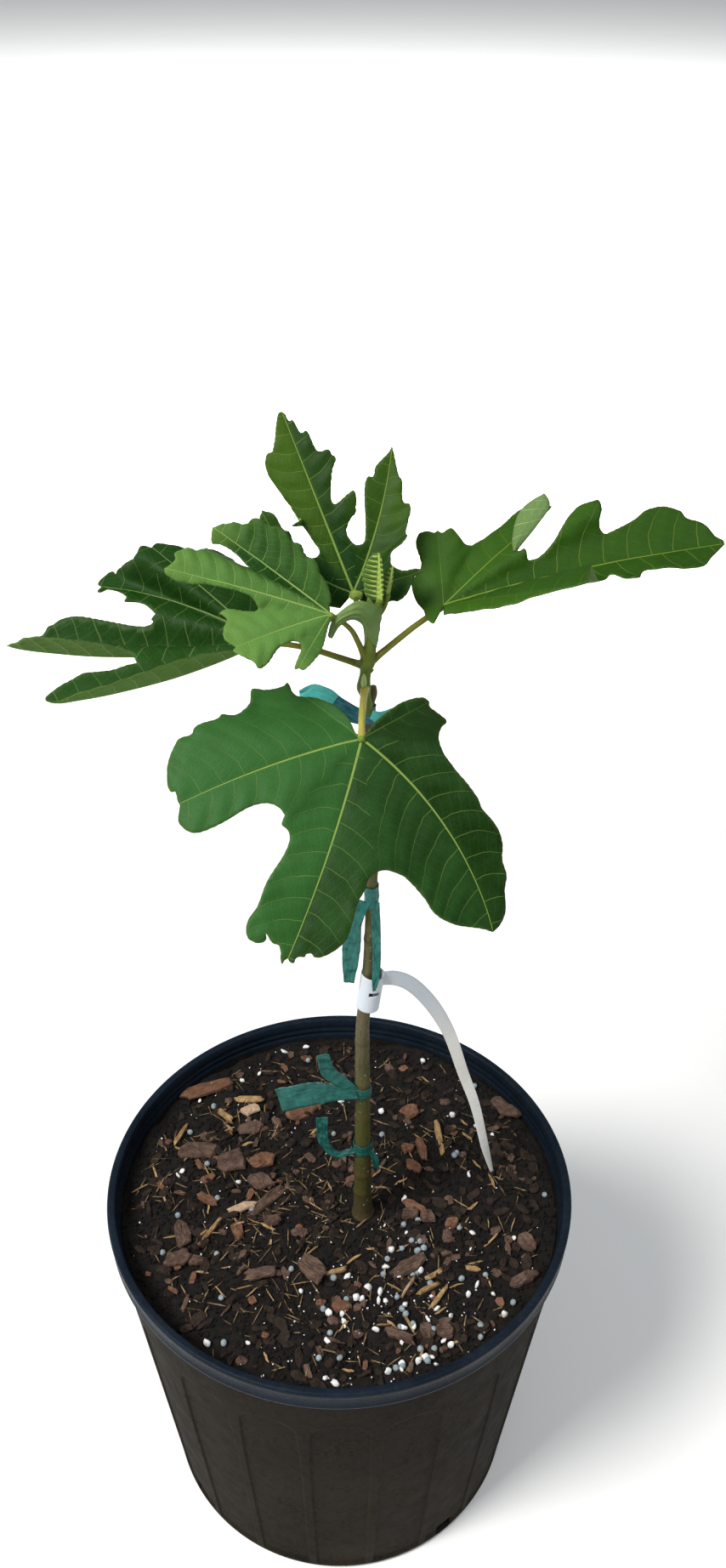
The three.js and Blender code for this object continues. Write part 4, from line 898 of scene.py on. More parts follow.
def lay_out(leaf):
    """Each lobe's frame in space and its direction in the flat pattern."""
    junction, face = np.array(leaf["junction"], float), unit(leaf["face"])
    lobes = []
    for given in leaf["lobes"]:
        tip = np.array(given["tip"], float)
        length = np.linalg.norm(tip - junction)
        along = (tip - junction) / length
        across = unit(np.cross(face, along))
        up = np.cross(along, across)
        middle = (junction + tip) / 2 + up * given.get("arch", 0) + across * given.get("bow", 0)
        lobes.append(dict(given, tip=tip, length=length, along=along, across=across, middle_point=middle,
                          junction=junction))
    turns = [0.0] * len(lobes)
    between = [math.acos(np.clip(a["along"] @ b["along"], -1, 1)) for a, b in zip(lobes, lobes[1:])]
    for i in range(leaf["middle"] + 1, len(lobes)):
        turns[i] = turns[i - 1] - between[i - 1]
    for i in range(leaf["middle"] - 1, -1, -1):
        turns[i] = turns[i + 1] + between[i]
    for lobe, turn in zip(lobes, turns):
        lobe["turn"] = turn + math.radians(lobe.get("spread", 0))
        lobe["ahead"] = np.array([math.cos(lobe["turn"]), math.sin(lobe["turn"])])
        lobe["aside"] = np.array([-lobe["ahead"][1], lobe["ahead"][0]])
    return lobes


def on_lobe(lobe, flat):
    """Where one lobe alone would carry points of the flat pattern."""
    share, out = flat @ lobe["ahead"] / lobe["length"], flat @ lobe["aside"]
    held = np.clip(share, 0, 1)[:, None]
    start, middle, end = lobe["junction"], lobe["middle_point"], lobe["tip"]
    point = (1 - held) ** 2 * start + 2 * held * (1 - held) * middle + held ** 2 * end
    tangent = unit(2 * (1 - held) * (middle - start) + 2 * held * (end - middle))
    across = unit(lobe["across"] - tangent * (tangent @ lobe["across"])[:, None])
    up = np.cross(tangent, across)
    fold = np.radians(np.where(out > 0, lobe.get("fold_left", 0), lobe.get("fold_right", 0)))
    rise = np.hypot(out, FOLD_ROUND) - FOLD_ROUND
    return (point + tangent * ((share - held[:, 0]) * lobe["length"])[:, None]
            + across * (out * np.cos(fold))[:, None] + up * (rise * np.sin(fold))[:, None])


def lobe_weights(lobes, flat):
    """How much each lobe counts at points of the flat pattern, by how near its main vein is."""
    weights = []
    for lobe in lobes:
        reach = np.clip(flat @ lobe["ahead"], 0, lobe["length"])
        distance = np.linalg.norm(flat - reach[:, None] * lobe["ahead"], axis=1)
        weights.append(1 / (distance + BLEND_START) ** BLEND_POWER)
    return np.array(weights) / np.sum(weights, axis=0)


def on_blade(lobes, flat):
    """The blade's middle surface: the lobes' own surfaces, the nearest counting most."""
    return sum(w[:, None] * on_lobe(lobe, flat) for lobe, w in zip(lobes, lobe_weights(lobes, flat)))


def notch_point(leaf, lobes, index):
    """Where a notch lies: by a share of the turn between two lobes, or by degrees past the last one."""
    share, radius = leaf["notches"][index]
    if index == 0:
        turn = lobes[0]["turn"] + math.radians(share)
    elif index == len(lobes):
        turn = lobes[-1]["turn"] - math.radians(share)
    else:
        turn = lobes[index - 1]["turn"] * (1 - share) + lobes[index]["turn"] * share
    return np.array([math.cos(turn), math.sin(turn)]) * radius


def toothed(line, at, work, seed):
    """Low blunt teeth along a margin, which fade out at both ends."""
    length, height = work["teeth"]
    along = unit(np.gradient(line, axis=0))
    outwards = np.stack([-along[:, 1], along[:, 0]], -1)
    beat = at / length + 0.35 * bumps(seed, at / 9)
    tooth = 1 - np.abs(2 * (beat % 1) - 0.7) ** 1.3
    fade = np.clip(at / 6, 0, 1) * np.clip((at[-1] - at) / 4, 0, 1)
    size = height * (tooth - 0.5) * fade * (0.75 + 0.5 * bumps(seed + 1, at / 6))
    return line + outwards * size[:, None]


def margin_line(leaf, lobes, index, side, work, seed):
    """One side of a lobe's margin in the flat pattern, from the notch to the tip."""
    lobe = lobes[index]

    def in_pattern(share, out):
        return lobe["ahead"] * share * lobe["length"] + lobe["aside"] * side * out

    corners = [notch_point(leaf, lobes, index if side > 0 else index + 1)]
    corners += [in_pattern(*pair) for pair in lobe["left" if side > 0 else "right"]]
    corners += [in_pattern(lobe.get("end", 1), 0)]
    fine = catmull(corners, np.linspace(0, 1, 12 * len(corners)))
    line, at = even_steps(fine, work["pitch"] * 0.55)
    worked = toothed(line, at, work, seed)
    return worked if side > 0 else line + (line - worked)


def inside(polygon, points):
    """Which points lie inside a closed outline."""
    hit = np.zeros(len(points), bool)
    for (x0, y0), (x1, y1) in zip(polygon, np.roll(polygon, -1, axis=0)):
        if y0 != y1:
            crosses = (y0 > points[:, 1]) != (y1 > points[:, 1])
            hit ^= crosses & (points[:, 0] < (x1 - x0) * (points[:, 1] - y0) / (y1 - y0) + x0)
    return hit


def nearest(points, others):
    """How far each point is from the nearest of the others, which are taken a few hundred at a time."""
    best = np.full(len(points), 1e9)
    for i in range(0, len(others), 200):
        gap = np.linalg.norm(points[:, None] - others[None, i:i + 200], axis=2)
        best = np.minimum(best, gap.min(axis=1))
    return best


def sides_of(triangle):
    return [(triangle[k], triangle[(k + 1) % 3]) for k in range(3)]


def lobe_owners(lobes, flat, triangles, barrier):
    """The lobe that each triangle belongs to, spread from the middle of each lobe up to the barrier."""
    by_side = {}
    for t, triangle in enumerate(triangles):
        for side in sides_of(triangle):
            by_side.setdefault(frozenset(side), []).append(t)
    centre = flat[triangles].mean(axis=1)
    owner = np.full(len(triangles), -1)
    for i, lobe in enumerate(lobes):
        waiting = [int(np.argmin(np.linalg.norm(centre - lobe["ahead"] * lobe["length"] * 0.5, axis=1)))]
        while waiting:
            t = waiting.pop()
            if owner[t] >= 0:
                continue
            owner[t] = i
            for side in map(frozenset, sides_of(triangles[t])):
                if side not in barrier:
                    waiting += [o for o in by_side[side] if owner[o] < 0]
    return owner


def flat_mesh(leaf, lobes, work, seed):
    """The pattern cut into small triangles, none of which crosses a main vein or a line from the junction to
    a notch, with the lobe that each belongs to."""
    pitch = work["pitch"]
    outline = []
    for i in range(len(lobes)):
        left = margin_line(leaf, lobes, i, 1, work, seed + 10 * i)
        right = margin_line(leaf, lobes, i, -1, work, seed + 10 * i + 5)
        outline += [left[:-1], right[::-1][:-1]]
    notches = [notch_point(leaf, lobes, i) for i in range(len(lobes) + 1)]
    rim = np.vstack(outline + [notches[-1][None]])
    points = [np.zeros((1, 2)), rim]
    edges = [(1 + k, 2 + k) for k in range(len(rim) - 1)]
    cursor = 1 + len(rim)
    spoke_edges = []
    for notch in notches:
        count = max(int(np.linalg.norm(notch) / pitch), 1)
        points.append(notch * np.linspace(0, 1, count + 1)[1:-1, None])
        end = int(np.argmin(np.linalg.norm(rim - notch, axis=1))) + 1
        chain = [0, *range(cursor, cursor + count - 1), end]
        spoke_edges += list(zip(chain, chain[1:]))
        cursor += count - 1
    edges += spoke_edges
    for lobe in lobes:
        reach = 0.97 * lobe.get("end", 1) * lobe["length"]
        count = int(reach / pitch)
        points.append(lobe["ahead"] * np.linspace(0, reach, count + 1)[1:, None])
        chain = [0, *range(cursor, cursor + count)]
        edges += list(zip(chain, chain[1:]))
        cursor += count
    fixed = np.vstack(points)
    low, high = rim.min(axis=0), rim.max(axis=0)
    gx, gy = np.meshgrid(np.arange(low[0], high[0], pitch), np.arange(low[1], high[1], pitch * 0.866))
    gx[1::2] += pitch / 2
    grid = np.stack([gx.ravel(), gy.ravel()], -1)
    polygon = np.vstack([np.zeros((1, 2)), rim])
    grid = grid[inside(polygon, grid)]
    grid = grid[nearest(grid, fixed) > pitch * 0.6]
    made = delaunay_2d_cdt(np.vstack([fixed, grid]).tolist(), edges, [], 0, 1e-4, True)
    flat = np.array([tuple(v) for v in made[0]])
    triangles = np.array(made[2])
    triangles = triangles[inside(polygon, flat[triangles].mean(axis=1))]
    a, b, c = flat[triangles[:, 0]], flat[triangles[:, 1]], flat[triangles[:, 2]]
    area = (b[:, 0] - a[:, 0]) * (c[:, 1] - a[:, 1]) - (b[:, 1] - a[:, 1]) * (c[:, 0] - a[:, 0])
    triangles[area < 0] = triangles[area < 0][:, ::-1]
    now = {old: new for new, olds in enumerate(made[3]) for old in olds}
    barrier = {frozenset((now.get(a, -1), now.get(b, -1))) for a, b in spoke_edges}
    owner = lobe_owners(lobes, flat, triangles, barrier)
    return flat, triangles[owner >= 0], owner[owner >= 0], rim


def vein_place(lobe, flat):
    """How far along a lobe's main vein points are, as a share, and how far out from it; the vein may sway."""
    share, out = flat @ lobe["ahead"] / lobe["length"], flat @ lobe["aside"]
    held = np.clip(share, 0, 1)
    return share, out - lobe.get("sway", 0) * 4 * held * (1 - held)


def side_vein_count(lobe, work):
    return max(lobe["length"] / work["vein_gap"], FEWEST_VEINS)


def blade_relief(lobes, flat, work, rim_gap, seed):
    """Grooves and keels at the main veins, swelling between the side veins, and a ripple near the margin."""
    total = 0
    for lobe, weight in zip(lobes, lobe_weights(lobes, flat)):
        share, out = vein_place(lobe, flat)
        away = np.abs(out) / lobe["length"]
        start = share - VEIN_SLANT * away - work.get("arc", VEIN_ARC) * away ** 2
        beat = start * side_vein_count(lobe, work) + VEIN_STAGGER * np.sign(out)
        swell = work["swell"] * (1 - np.cos(2 * np.pi * beat)) * (1 - np.exp(-(out / 4) ** 2))
        groove = -0.35 * np.exp(-(out / 1.6) ** 2) * np.clip(1.2 - share, 0, 1)
        keel = work["keel"] * KEEL_REACH * (1 - np.exp(-np.abs(out) / KEEL_REACH))
        total = total + weight * ((swell + keel) * np.clip(share * 4, 0, 1) + groove)
    near_rim = np.exp(-(rim_gap / 7) ** 2)
    ripple = work["ripple"] * near_rim * bumps(seed, flat[:, 0] / 6, flat[:, 1] / 6)
    slow = 0.15 * bumps(seed + 3, flat[:, 0] / 16, flat[:, 1] / 16)
    return total + ripple + slow * min(work["pitch"], 1)


def blade_tone_and_painted_light(lobes, flat, heart_shade):
    """How bright the leaf is, about -1 to 1: each half of a lobe is given a brightness, partly its own colour
    and partly painted light and shade, and the middle round the junction may be darker with painted shade.
    """
    total = 0
    for lobe, weight in zip(lobes, lobe_weights(lobes, flat)):
        out = vein_place(lobe, flat)[1]
        left, right = lobe["tone_and_painted_light"]
        half = 0.5 + 0.5 * np.tanh(out / 1.2)
        total = total + weight * (left * half + right * (1 - half))
    return total - heart_shade * np.exp(-(np.linalg.norm(flat, axis=1) / HEART_SHADE_REACH) ** 2)


def under_ribs(lobes, flat):
    """How far the main veins stand out below the blade."""
    rib = 0
    for lobe, weight in zip(lobes, lobe_weights(lobes, flat)):
        share, out = vein_place(lobe, flat)
        thick = 0.014 * lobe["length"] * (1.1 - 0.75 * np.clip(share, 0, 1))
        rib = rib + weight * thick * np.exp(-(out / 0.9) ** 2)
    return rib


def make_blade(name, leaf, upper, under, seed):
    """A leaf's blade: an upper and a lower skin, each in its own finish, and a thin margin between them."""
    work = LEAF_WORK[name]
    lobes = lay_out(leaf)
    flat, triangles, owner, rim = flat_mesh(leaf, lobes, work, seed)
    step = 0.25
    dx = on_blade(lobes, flat + [step, 0]) - on_blade(lobes, flat - [step, 0])
    dy = on_blade(lobes, flat + [0, step]) - on_blade(lobes, flat - [0, step])
    normal = unit(np.cross(dx, dy))
    gap = nearest(flat, rim)
    middle = on_blade(lobes, flat) + normal * blade_relief(lobes, flat, work, gap, seed)[:, None]
    half = work["thick"] / 2 * np.clip(0.4 + gap / 2.5, 0, 1)
    top = middle + normal * half[:, None]
    bottom = middle - normal * (half + under_ribs(lobes, flat) * np.clip(gap / 3, 0, 1))[:, None]
    n = len(flat)
    sides = {side: t for t, triangle in enumerate(triangles) for side in sides_of(triangle)}
    border = [(side, t) for side, t in sides.items() if side[::-1] not in sides]
    faces = triangles.tolist() + (triangles[:, ::-1] + n).tolist()
    faces += [[b, a, a + n, b + n] for (a, b), _ in border]
    skins = np.repeat([0, 1, 0], [len(triangles), len(triangles), len(border)])
    patterns = np.array([vein_place(lobe, flat) for lobe in lobes])
    patterns[:, 1] /= np.array([lobe["length"] for lobe in lobes])[:, None]
    corners = patterns[owner[:, None], :, triangles]
    uv = [corners.reshape(-1, 2), corners[:, ::-1].reshape(-1, 2)]
    uv += [patterns[owner[t], :, [b, a, a, b]] for (a, b), t in border]
    own = np.array([[side_vein_count(lobe, work) / MOST_VEINS, lobe.get("vein", 1)] for lobe in lobes])
    second = [np.repeat(own[owner], 3, axis=0)] * 2
    second += [np.repeat(own[owner[t]][None], 4, axis=0) for _, t in border]
    values = {"rim": np.clip(1 - gap / 0.8, 0, 1), "tone_and_painted_light": blade_tone_and_painted_light(lobes, flat, work.get("heart_shade", 0))}
    return make_piece(name + "_blade", np.vstack([top, bottom]), faces, [upper, under], skins, np.vstack(uv),
                      {key: np.tile(value, 2) for key, value in values.items()}, second_uv=np.vstack(second))


def make_stalk(name, leaf, material, seed):
    """The leaf's stalk: a swollen foot and head, and a fine uneven skin."""
    thick, thin = leaf["stalk_radii"]
    radii = np.linspace(thick, thin, len(leaf["stalk"]))

    def relief(share, turn, length):
        foot = 0.5 * np.exp(-(length / 5) ** 2)
        head = 0.35 * np.exp(-((1 - share) * 9) ** 2)
        return foot + head + 0.05 * bumps(seed, length / 2.2 + 0 * turn, 2 * np.cos(turn), 2 * np.sin(turn))

    points, faces = tube(leaf["stalk"], radii, 20, 0.7, relief)
    return tube_piece(name + "_stalk", points, faces, 20, material)


def tube_piece(name, points, faces, sides, material, values=None):
    """A tube with a pattern that runs once round it in x and along it in y."""
    lengths = np.arange((len(points) - 2) // sides + 1) * 0.07
    uv = []
    for face in faces:
        rows = [min(v // sides, len(lengths) - 1) for v in face]
        turns = [v % sides for v in face]
        if max(turns) - min(turns) > sides / 2:
            turns = [t + sides if t < sides / 2 else t for t in turns]
        uv += [(t / sides, lengths[r]) for t, r in zip(turns, rows)]
    return make_piece(name, points, faces, [material], uv=uv, values=values)


def finish_piece(piece, slot, *nodes):
    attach(piece, "root")
    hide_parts(*nodes)


LEAF_LOOKS = {
    "leaf_front": (FRONT_UPPER, DARK_SHADED_UNDER, STALK_PALE, "leaf"),
    "leaf_left": (LEFT_UPPER, DARK_SHADED_UNDER, STALK_GREEN, "leaf"),
    "leaf_near_left": (NEAR_UPPER, PALE_UNDER, STALK_GREEN, "leaf_bright"),
    "leaf_top": (TOP_UPPER, PALE_UNDER, STALK_GREEN, "leaf_bright"),
    "leaf_right": (RIGHT_UPPER, RIGHT_UNDER, STALK_GREEN, "leaf"),
}
for number, (name, leaf) in enumerate(LEAVES.items()):
    upper, under, stalk, slot = LEAF_LOOKS[name]
    finish_piece(make_blade(name, leaf, upper, under, seed=100 * number + 7), slot, name)
    finish_piece(make_stalk(name, leaf, stalk, 100 * number), slot, name)
for number, (name, leaf) in enumerate(YOUNG_LEAVES.items()):
    blade = make_blade(name, leaf, YOUNG_UPPER, YOUNG_UNDER, seed=900 + number)
    finish_piece(blade, "young_leaf", name)
    finish_piece(make_stalk(name, leaf, GREEN_STEM, 950 + number), "young_leaf", name)

# ---------------------------------------------------------------- trunk and shoot

TRUNK_NODES = (246, 262, 281, 309, 336, 368, 402, 441, 486, 527, 559, 579)
SHOOT_NODES = (583, 592, 604, 611, 618, 624)


def ring_swell(height, places, size, width):
    return sum(size * np.exp(-((height - p) / width) ** 2) for p in places)


def make_stem(name, line, places, sides, step, material, foot, swell):
    """A stem with uneven skin, a swollen scar at each of the places and a foot that flares by that much."""
    start = line[0][0][2]

    def relief(share, turn, length):
        height = start + length
        wave = bumps(5, height / 7 + 0 * turn, 2.2 * np.cos(turn), 2.2 * np.sin(turn))
        fine = bumps(9, height / 1.6 + 0 * turn, 5 * np.cos(turn), 5 * np.sin(turn))
        scars = ring_swell(height, places, swell, 2.2)
        lean = np.cos(turn - 1.9 * height / 20)
        flare = foot * np.exp(-length / 2.5) * (0.5 + 0.5 * np.cos(3 * turn + 0.6))
        return scars * (0.7 + 0.5 * lean) + 0.14 * wave + 0.05 * fine + flare

    points, faces = tube([p for p, _ in line], [r for _, r in line], sides, step, relief)
    scar = np.clip(ring_swell(points[:, 2], places, 1.0, 0.7), 0, 1)
    return tube_piece(name, points, faces, sides, material, {"scar": scar})


stem = make_stem("trunk_bark", TRUNK, TRUNK_NODES, 40, 0.8, BARK, 0.5, 0.35)
finish_piece(stem, "bark", "trunk")
shoot = make_stem("shoot_skin", SHOOT, SHOOT_NODES, 32, 0.6, GREEN_STEM, 0.0, 0.3)
finish_piece(shoot, "green_stem", "green_shoot")

# Pairs of points along the two sides of the rolled edge that lies on the leaf to the right.
ROLLED_EDGE = [((78.9, 16.3, 643.6), (79.7, 16.2, 643.6)),
               ((78.1, 20, 646), (81.8, 18.1, 646)),
               ((78.6, 23.7, 648.4), (84.6, 20.5, 648.4)),
               ((79.6, 28.3, 650.9), (87.6, 23.4, 650.8)),
               ((81.5, 33.4, 653.7), (90.7, 27, 653.3)),
               ((84.3, 37.4, 656), (93.9, 30.9, 655.7)),
               ((87.9, 40, 658), (95.8, 34, 657.5)),
               ((91.1, 41.6, 659.2), (96.2, 37.4, 658.7)),
               ((93.1, 42.3, 659.7), (95.7, 40.2, 659.4)),
               ((94.1, 42.8, 659.8), (94.9, 42.4, 659.7))]
# Pairs of points along the upper and the lower edge of the curled sheath below the shoot's tip.
SHEATH = [((19.6, -10.4, 631.4), (17.2, -12.6, 611.5)), ((15, -13.6, 633.6), (13.4, -14.2, 617.5)),
          ((8.5, -15.8, 636), (10.2, -15.8, 625.4)), ((1.8, -17.8, 632.4), (5.8, -17.3, 628)),
          ((-2, -18.6, 628.6), (1, -18.6, 625.6)), ((-4.2, -18.6, 621), (-2.6, -18.4, 619.6))]
BUDS = {  # foot, tip, radius, skin
    "bud_pale": ((11.6, -16.2, 593.4), (11.6, -17.8, 601.2), 1.3, BUD_SKIN),
    "bud_left": ((11, -13.2, 604.4), (7.4, -14.4, 605.8), 1.2, GREEN_STEM),
    "bud_right": ((13.4, -13, 599.4), (16, -13.2, 600.8), 1.0, GREEN_STEM),
    "bud_tip": ((15.6, -11.6, 628), (13.2, -13.6, 636.4), 1.7, SHEATH_SKIN),
}
KNOBS = {  # middle, size, leaf
    "knob_top": ((8.2, -1.6, 631.6), (6.2, 4.2, 4.4), "leaf_top"),
    "knob_front": ((10, -50.2, 587.8), (3.4, 3, 3), "leaf_front"),
    "knob_near": ((-3, -20.4, 631.6), (3, 2.8, 2.6), "leaf_near_left"),
}


ROLL_LENGTH = 30.0  # of the sheath and of the rolled edge, about


def make_roll(name, pairs, swell, crimp, material, lobe=None):
    """A thin piece between two edges, swollen along its middle and crimped across. On a leaf it takes the
    leaf's pattern, and lobe gives the number of side veins and the strength of the main vein."""
    share = np.linspace(0, 1, 60)
    first, second = (catmull([pair[k] for pair in pairs], share) for k in (0, 1))
    v = np.linspace(0, 1, 25)[None, :, None]
    middle = first[:, None] * (1 - v) + second[:, None] * v
    middle = middle + np.array(swell) * 4 * v * (1 - v)
    through = unit(np.cross(np.gradient(middle, axis=0), np.gradient(middle, axis=1)))
    fold = np.sin(v[..., 0] * 26 + 3 * share[:, None]) + 0.7 * bumps(71, 6 * share[:, None], 5 * v[..., 0])
    middle = middle + through * crimp * fold[..., None]
    points, faces, uv = closed_sheet(middle, through, 0.6, share * ROLL_LENGTH)
    if lobe is None:
        return make_piece(name, points, faces, [material], uv=uv)
    uv = [(0.4 + y * 10 / ROLL_LENGTH * 0.5, 0.015 + 0.16 * (x + 0.5)) for x, y in uv]
    values = {"tone_and_painted_light": np.full(len(points), 0.2), "rim": np.zeros(len(points))}
    return make_piece(name, points, faces, [material], uv=uv, values=values, second_uv=[lobe] * len(uv))


def make_bud(name, foot, tip, radius, skin, twist):
    """A pointed bud from foot to tip, three-sided by a little."""

    def relief(share, turn, length):
        return 0.12 * radius * np.cos(3 * turn + twist) + 0 * length

    foot, tip = np.array(foot), np.array(tip)
    line = [foot * (1 - w) + tip * w for w in (0, 0.3, 0.65, 0.9, 1)]
    points, faces = tube(line, [radius * w for w in (0.8, 1.0, 0.8, 0.4, 0.12)], 16, 0.35, relief)
    return tube_piece(name, points, faces, 16, skin)


sheath = make_roll("shoot_sheath", SHEATH, (0, -2.2, 0.6), 0.22, SHEATH_SKIN)
finish_piece(sheath, "green_stem", "green_shoot")
rolled = make_roll("leaf_right_rolled_edge", ROLLED_EDGE, (-0.6, -1.2, 1.4), 0.05, RIGHT_UNDER, (0.6, 1.0))
finish_piece(rolled, "leaf", "leaf_right")
for number, (name, bud) in enumerate(BUDS.items()):
    finish_piece(make_bud(name, *bud, number), "green_stem", "green_shoot")

for number, (name, (middle, size, leaf)) in enumerate(KNOBS.items()):
    points, faces = lump(np.array(size), np.random.default_rng(500 + number), 0.16, 4)
    uv = [(points[v][0], points[v][2]) for face in faces for v in face]
    knob = make_piece(name, points + middle, faces, [KNOB_SKIN], uv=uv)
    finish_piece(knob, LEAF_LOOKS[leaf][3], leaf)

# ---------------------------------------------------------------- pot


def wall_radius(z):
    return BASE_RADIUS + (RIM_RADIUS - RIM_STEP - BASE_RADIUS) * z / POT_HEIGHT


def inside_radius(z):
    return wall_radius(z) - PANEL_DEPTH - WALL


def panel_press(turn, z):
    """How far the wall is pressed in at that turn (degrees from the front) and height."""
    pitch = 360 / PANELS
    across = np.abs((turn + pitch / 2) % pitch - pitch / 2)
    radius = wall_radius(z)
    rib = RIB_HALF + RIB_SPREAD * smooth_step((z - RIB_SPREAD_START) / RIB_SPREAD_REACH)
    sides = np.radians(pitch / 2 - across) * radius - rib
    width = np.radians(pitch / 2) * radius - rib
    x = np.radians(across) * radius
    arch = (1 - np.hypot(x / width, np.maximum(z - ARCH_SPRING, 0) / ARCH_RISE)) * ARCH_RISE
    edge = np.where(z > ARCH_SPRING, np.minimum(arch, sides), sides)
    edge = np.minimum(edge, z - PANEL_FOOT)
    return PANEL_DEPTH * smooth_step(edge / PANEL_EDGE)


def make_pot():
    """The pot's two skins from the middle of its floor up to the lip, its pressed panels and drain holes."""
    pitch = 360 / PANELS
    across = [-x for x in PANEL_COLUMNS[:0:-1]] + list(PANEL_COLUMNS) + [pitch / 2]
    turn = np.concatenate([np.array(across) + pitch * k for k in range(PANELS)])
    heights = [3, 5.5, 8, 10.5, 13, *np.arange(17, 180, 14), *np.arange(180, 202, 0.8), 208, 214, 220, 224.6]
    outer = [(0, 0), (55, 0), (100, 0), (BASE_RADIUS - 4, 0), (BASE_RADIUS - BASE_BEVEL, 0),
             (BASE_RADIUS - 1.6, 0.5), (BASE_RADIUS - 0.5, 1.6)]
    inner = [(0, FLOOR), (55, FLOOR), (90, FLOOR), (100, FLOOR), (inside_radius(3) - 3, FLOOR),
             (inside_radius(3) - 2, FLOOR), (inside_radius(3) - 1, FLOOR)]
    low_row = len(outer)
    outer += [(wall_radius(z), z) for z in heights] + RIM_OUTSIDE
    inner += [(inside_radius(z), z) for z in heights] + RIM_INSIDE
    angle = np.radians(turn)
    skins = []
    for profile, panelled in ((outer, True), (inner, False)):
        for radius, z in profile:
            if panelled and PANEL_FOOT < z < PANEL_HEAD:
                radius = radius - panel_press(turn, z)
            skins.append(np.stack([radius * np.sin(angle), -radius * np.cos(angle), z + 0 * angle], -1))
    points = np.vstack(skins)
    hole = np.zeros((len(outer) - 1, len(turn)), bool)
    for middle in DRAIN_TURNS:
        start = turn - middle + DRAIN_HALF_TURN
        hole[low_row:low_row + DRAIN_ROWS] |= (start > -0.01) & (start < 2 * DRAIN_HALF_TURN - 0.01)
    faces = double_wall(hole)
    # faces above the rim's start take the rim finish with its painted sky reflection
    above = np.array([min(points[v][2] for v in face) for face in faces]) > RIM_FINISH
    pot = make_piece("pot_shell", points, faces, [POT_WALL, POT_RIM_PAINTED_SHEEN], above.astype(int))
    merge_close(pot)
    return pot


pot = make_pot()
finish_piece(pot, "pot_plastic", "pot")

# ---------------------------------------------------------------- potting mix


def soil_height(x, y):
    """The uneven top of the mix, flatter round the trunk's foot."""
    foot = np.hypot(x - TRUNK_FOOT[0], y - TRUNK_FOOT[1])
    clear = np.clip((foot - 30) / 20, 0, 1)
    wave = np.sin(x * 0.071 + 1) * np.cos(y * 0.083) + 0.6 * np.sin((x + y) * 0.15)
    lumps = 0.9 * bumps(31, x / 6, y / 6) + 0.45 * bumps(32, x / 1.8, y / 1.8)
    return SOIL_TOP + clear * (wave - 0.6) * SOIL_RELIEF + lumps * np.clip((foot - 7) / 5, 0.15, 1)


def soil_rings(radii, columns):
    """Rings of points on top of the mix."""
    turn = ring_turns(columns)
    x, y = radii[:, None] * np.cos(turn), radii[:, None] * np.sin(turn)
    return np.stack([x, y, soil_height(x, y)], -1)


def make_soil():
    """The whole bed of mix: its uneven top, then its sides down to the pot's floor."""
    edge = inside_radius(SOIL_TOP) - MIX_CLEARANCE
    columns = 360
    turn = ring_turns(columns)
    top = soil_rings(np.concatenate([[0], np.linspace(1.5, edge, 90)]), columns)
    foot = FLOOR + 0.3
    profile = [(inside_radius(z) - MIX_CLEARANCE, z) for z in (221, 200, 150, 80, 20, 12, foot)] + [(0, foot)]
    sides = [np.stack([r * np.cos(turn), r * np.sin(turn), z + 0 * turn], -1) for r, z in profile]
    rings = np.concatenate([top, np.array(sides)])
    soil = make_piece("mix_bed", rings.reshape(-1, 3), grid_faces(len(rings), columns, flip=True), [SOIL])
    merge_close(soil)
    return soil


soil = make_soil()
finish_piece(soil, "potting_mix", "potting_mix")


def flake(size, rng):
    """A broken chip about the origin with its grain along X: (points, faces)."""
    corners = 14
    turn = np.arange(corners) * 2 * np.pi / corners + rng.uniform(-0.12, 0.12, corners)
    square = (np.abs(np.cos(turn)) ** 3.2 + np.abs(np.sin(turn)) ** 3.2) ** (-1 / 3.2)
    reach = square * rng.uniform(0.78, 1.12, corners) * 0.5
    skew = rng.uniform(-0.35, 0.35)
    bend = rng.uniform(-0.6, 0.9)
    layers = []
    for height, share in ((-0.5, 0.78), (-0.15, 1.0), (0.25, 0.97), (0.5, 0.84), (0.56, 0.45)):
        x, y = np.cos(turn) * reach * share, np.sin(turn) * reach * share
        z = height + rng.uniform(-0.13, 0.13, corners) * (1.6 if height > 0.3 else 1)
        layers.append(np.stack([x + skew * y * size[1] / size[0], y, z + bend * (x * 2) ** 2 * 0.5], -1))
    middle = np.array([[0, 0, -0.5], [0, 0, 0.5 + rng.uniform(-0.1, 0.2)]])
    points = np.vstack([*layers, middle]) * size
    faces = grid_faces(len(layers), corners).tolist()
    low, high = len(points) - 2, len(points) - 1
    last = low - corners
    faces += [[low, (j + 1) % corners, j] for j in range(corners)]
    faces += [[high, last + j, last + (j + 1) % corners] for j in range(corners)]
    return points, faces


def sliver(size, rng):
    """A torn splinter or fibre along X, four-sided and a little bent."""
    cuts = np.linspace(-0.5, 0.5, 6)
    turn = np.array([0.8, 2.3, 3.9, 5.5])
    bend = np.cumsum(rng.uniform(-0.35, 0.35, 6))
    share = (1 - np.abs(2 * cuts) ** 3 * 0.75) * rng.uniform(0.8, 1.1, 6)
    rings = np.stack([np.repeat(cuts[:, None], 4, 1), np.cos(turn) * share[:, None] * 0.6 + bend[:, None],
                      np.sin(turn) * share[:, None] * 0.6], -1)
    faces = grid_faces(6, 4).tolist() + [[3, 2, 1, 0], [20, 21, 22, 23]]
    return rings.reshape(-1, 3) * size, faces


def bit_shape(kind, size, rng):
    """One loose bit: a chip, a sliver, a round bead, a smooth lump or a coarser grain."""
    if kind == "chip":
        return flake(size, rng)
    if kind == "sliver":
        return sliver(size, rng)
    if kind == "bead":
        return lump(size, rng, 0.02, 2)
    return lump(size, rng, 0.3, 2 if kind == "lump" else 1)


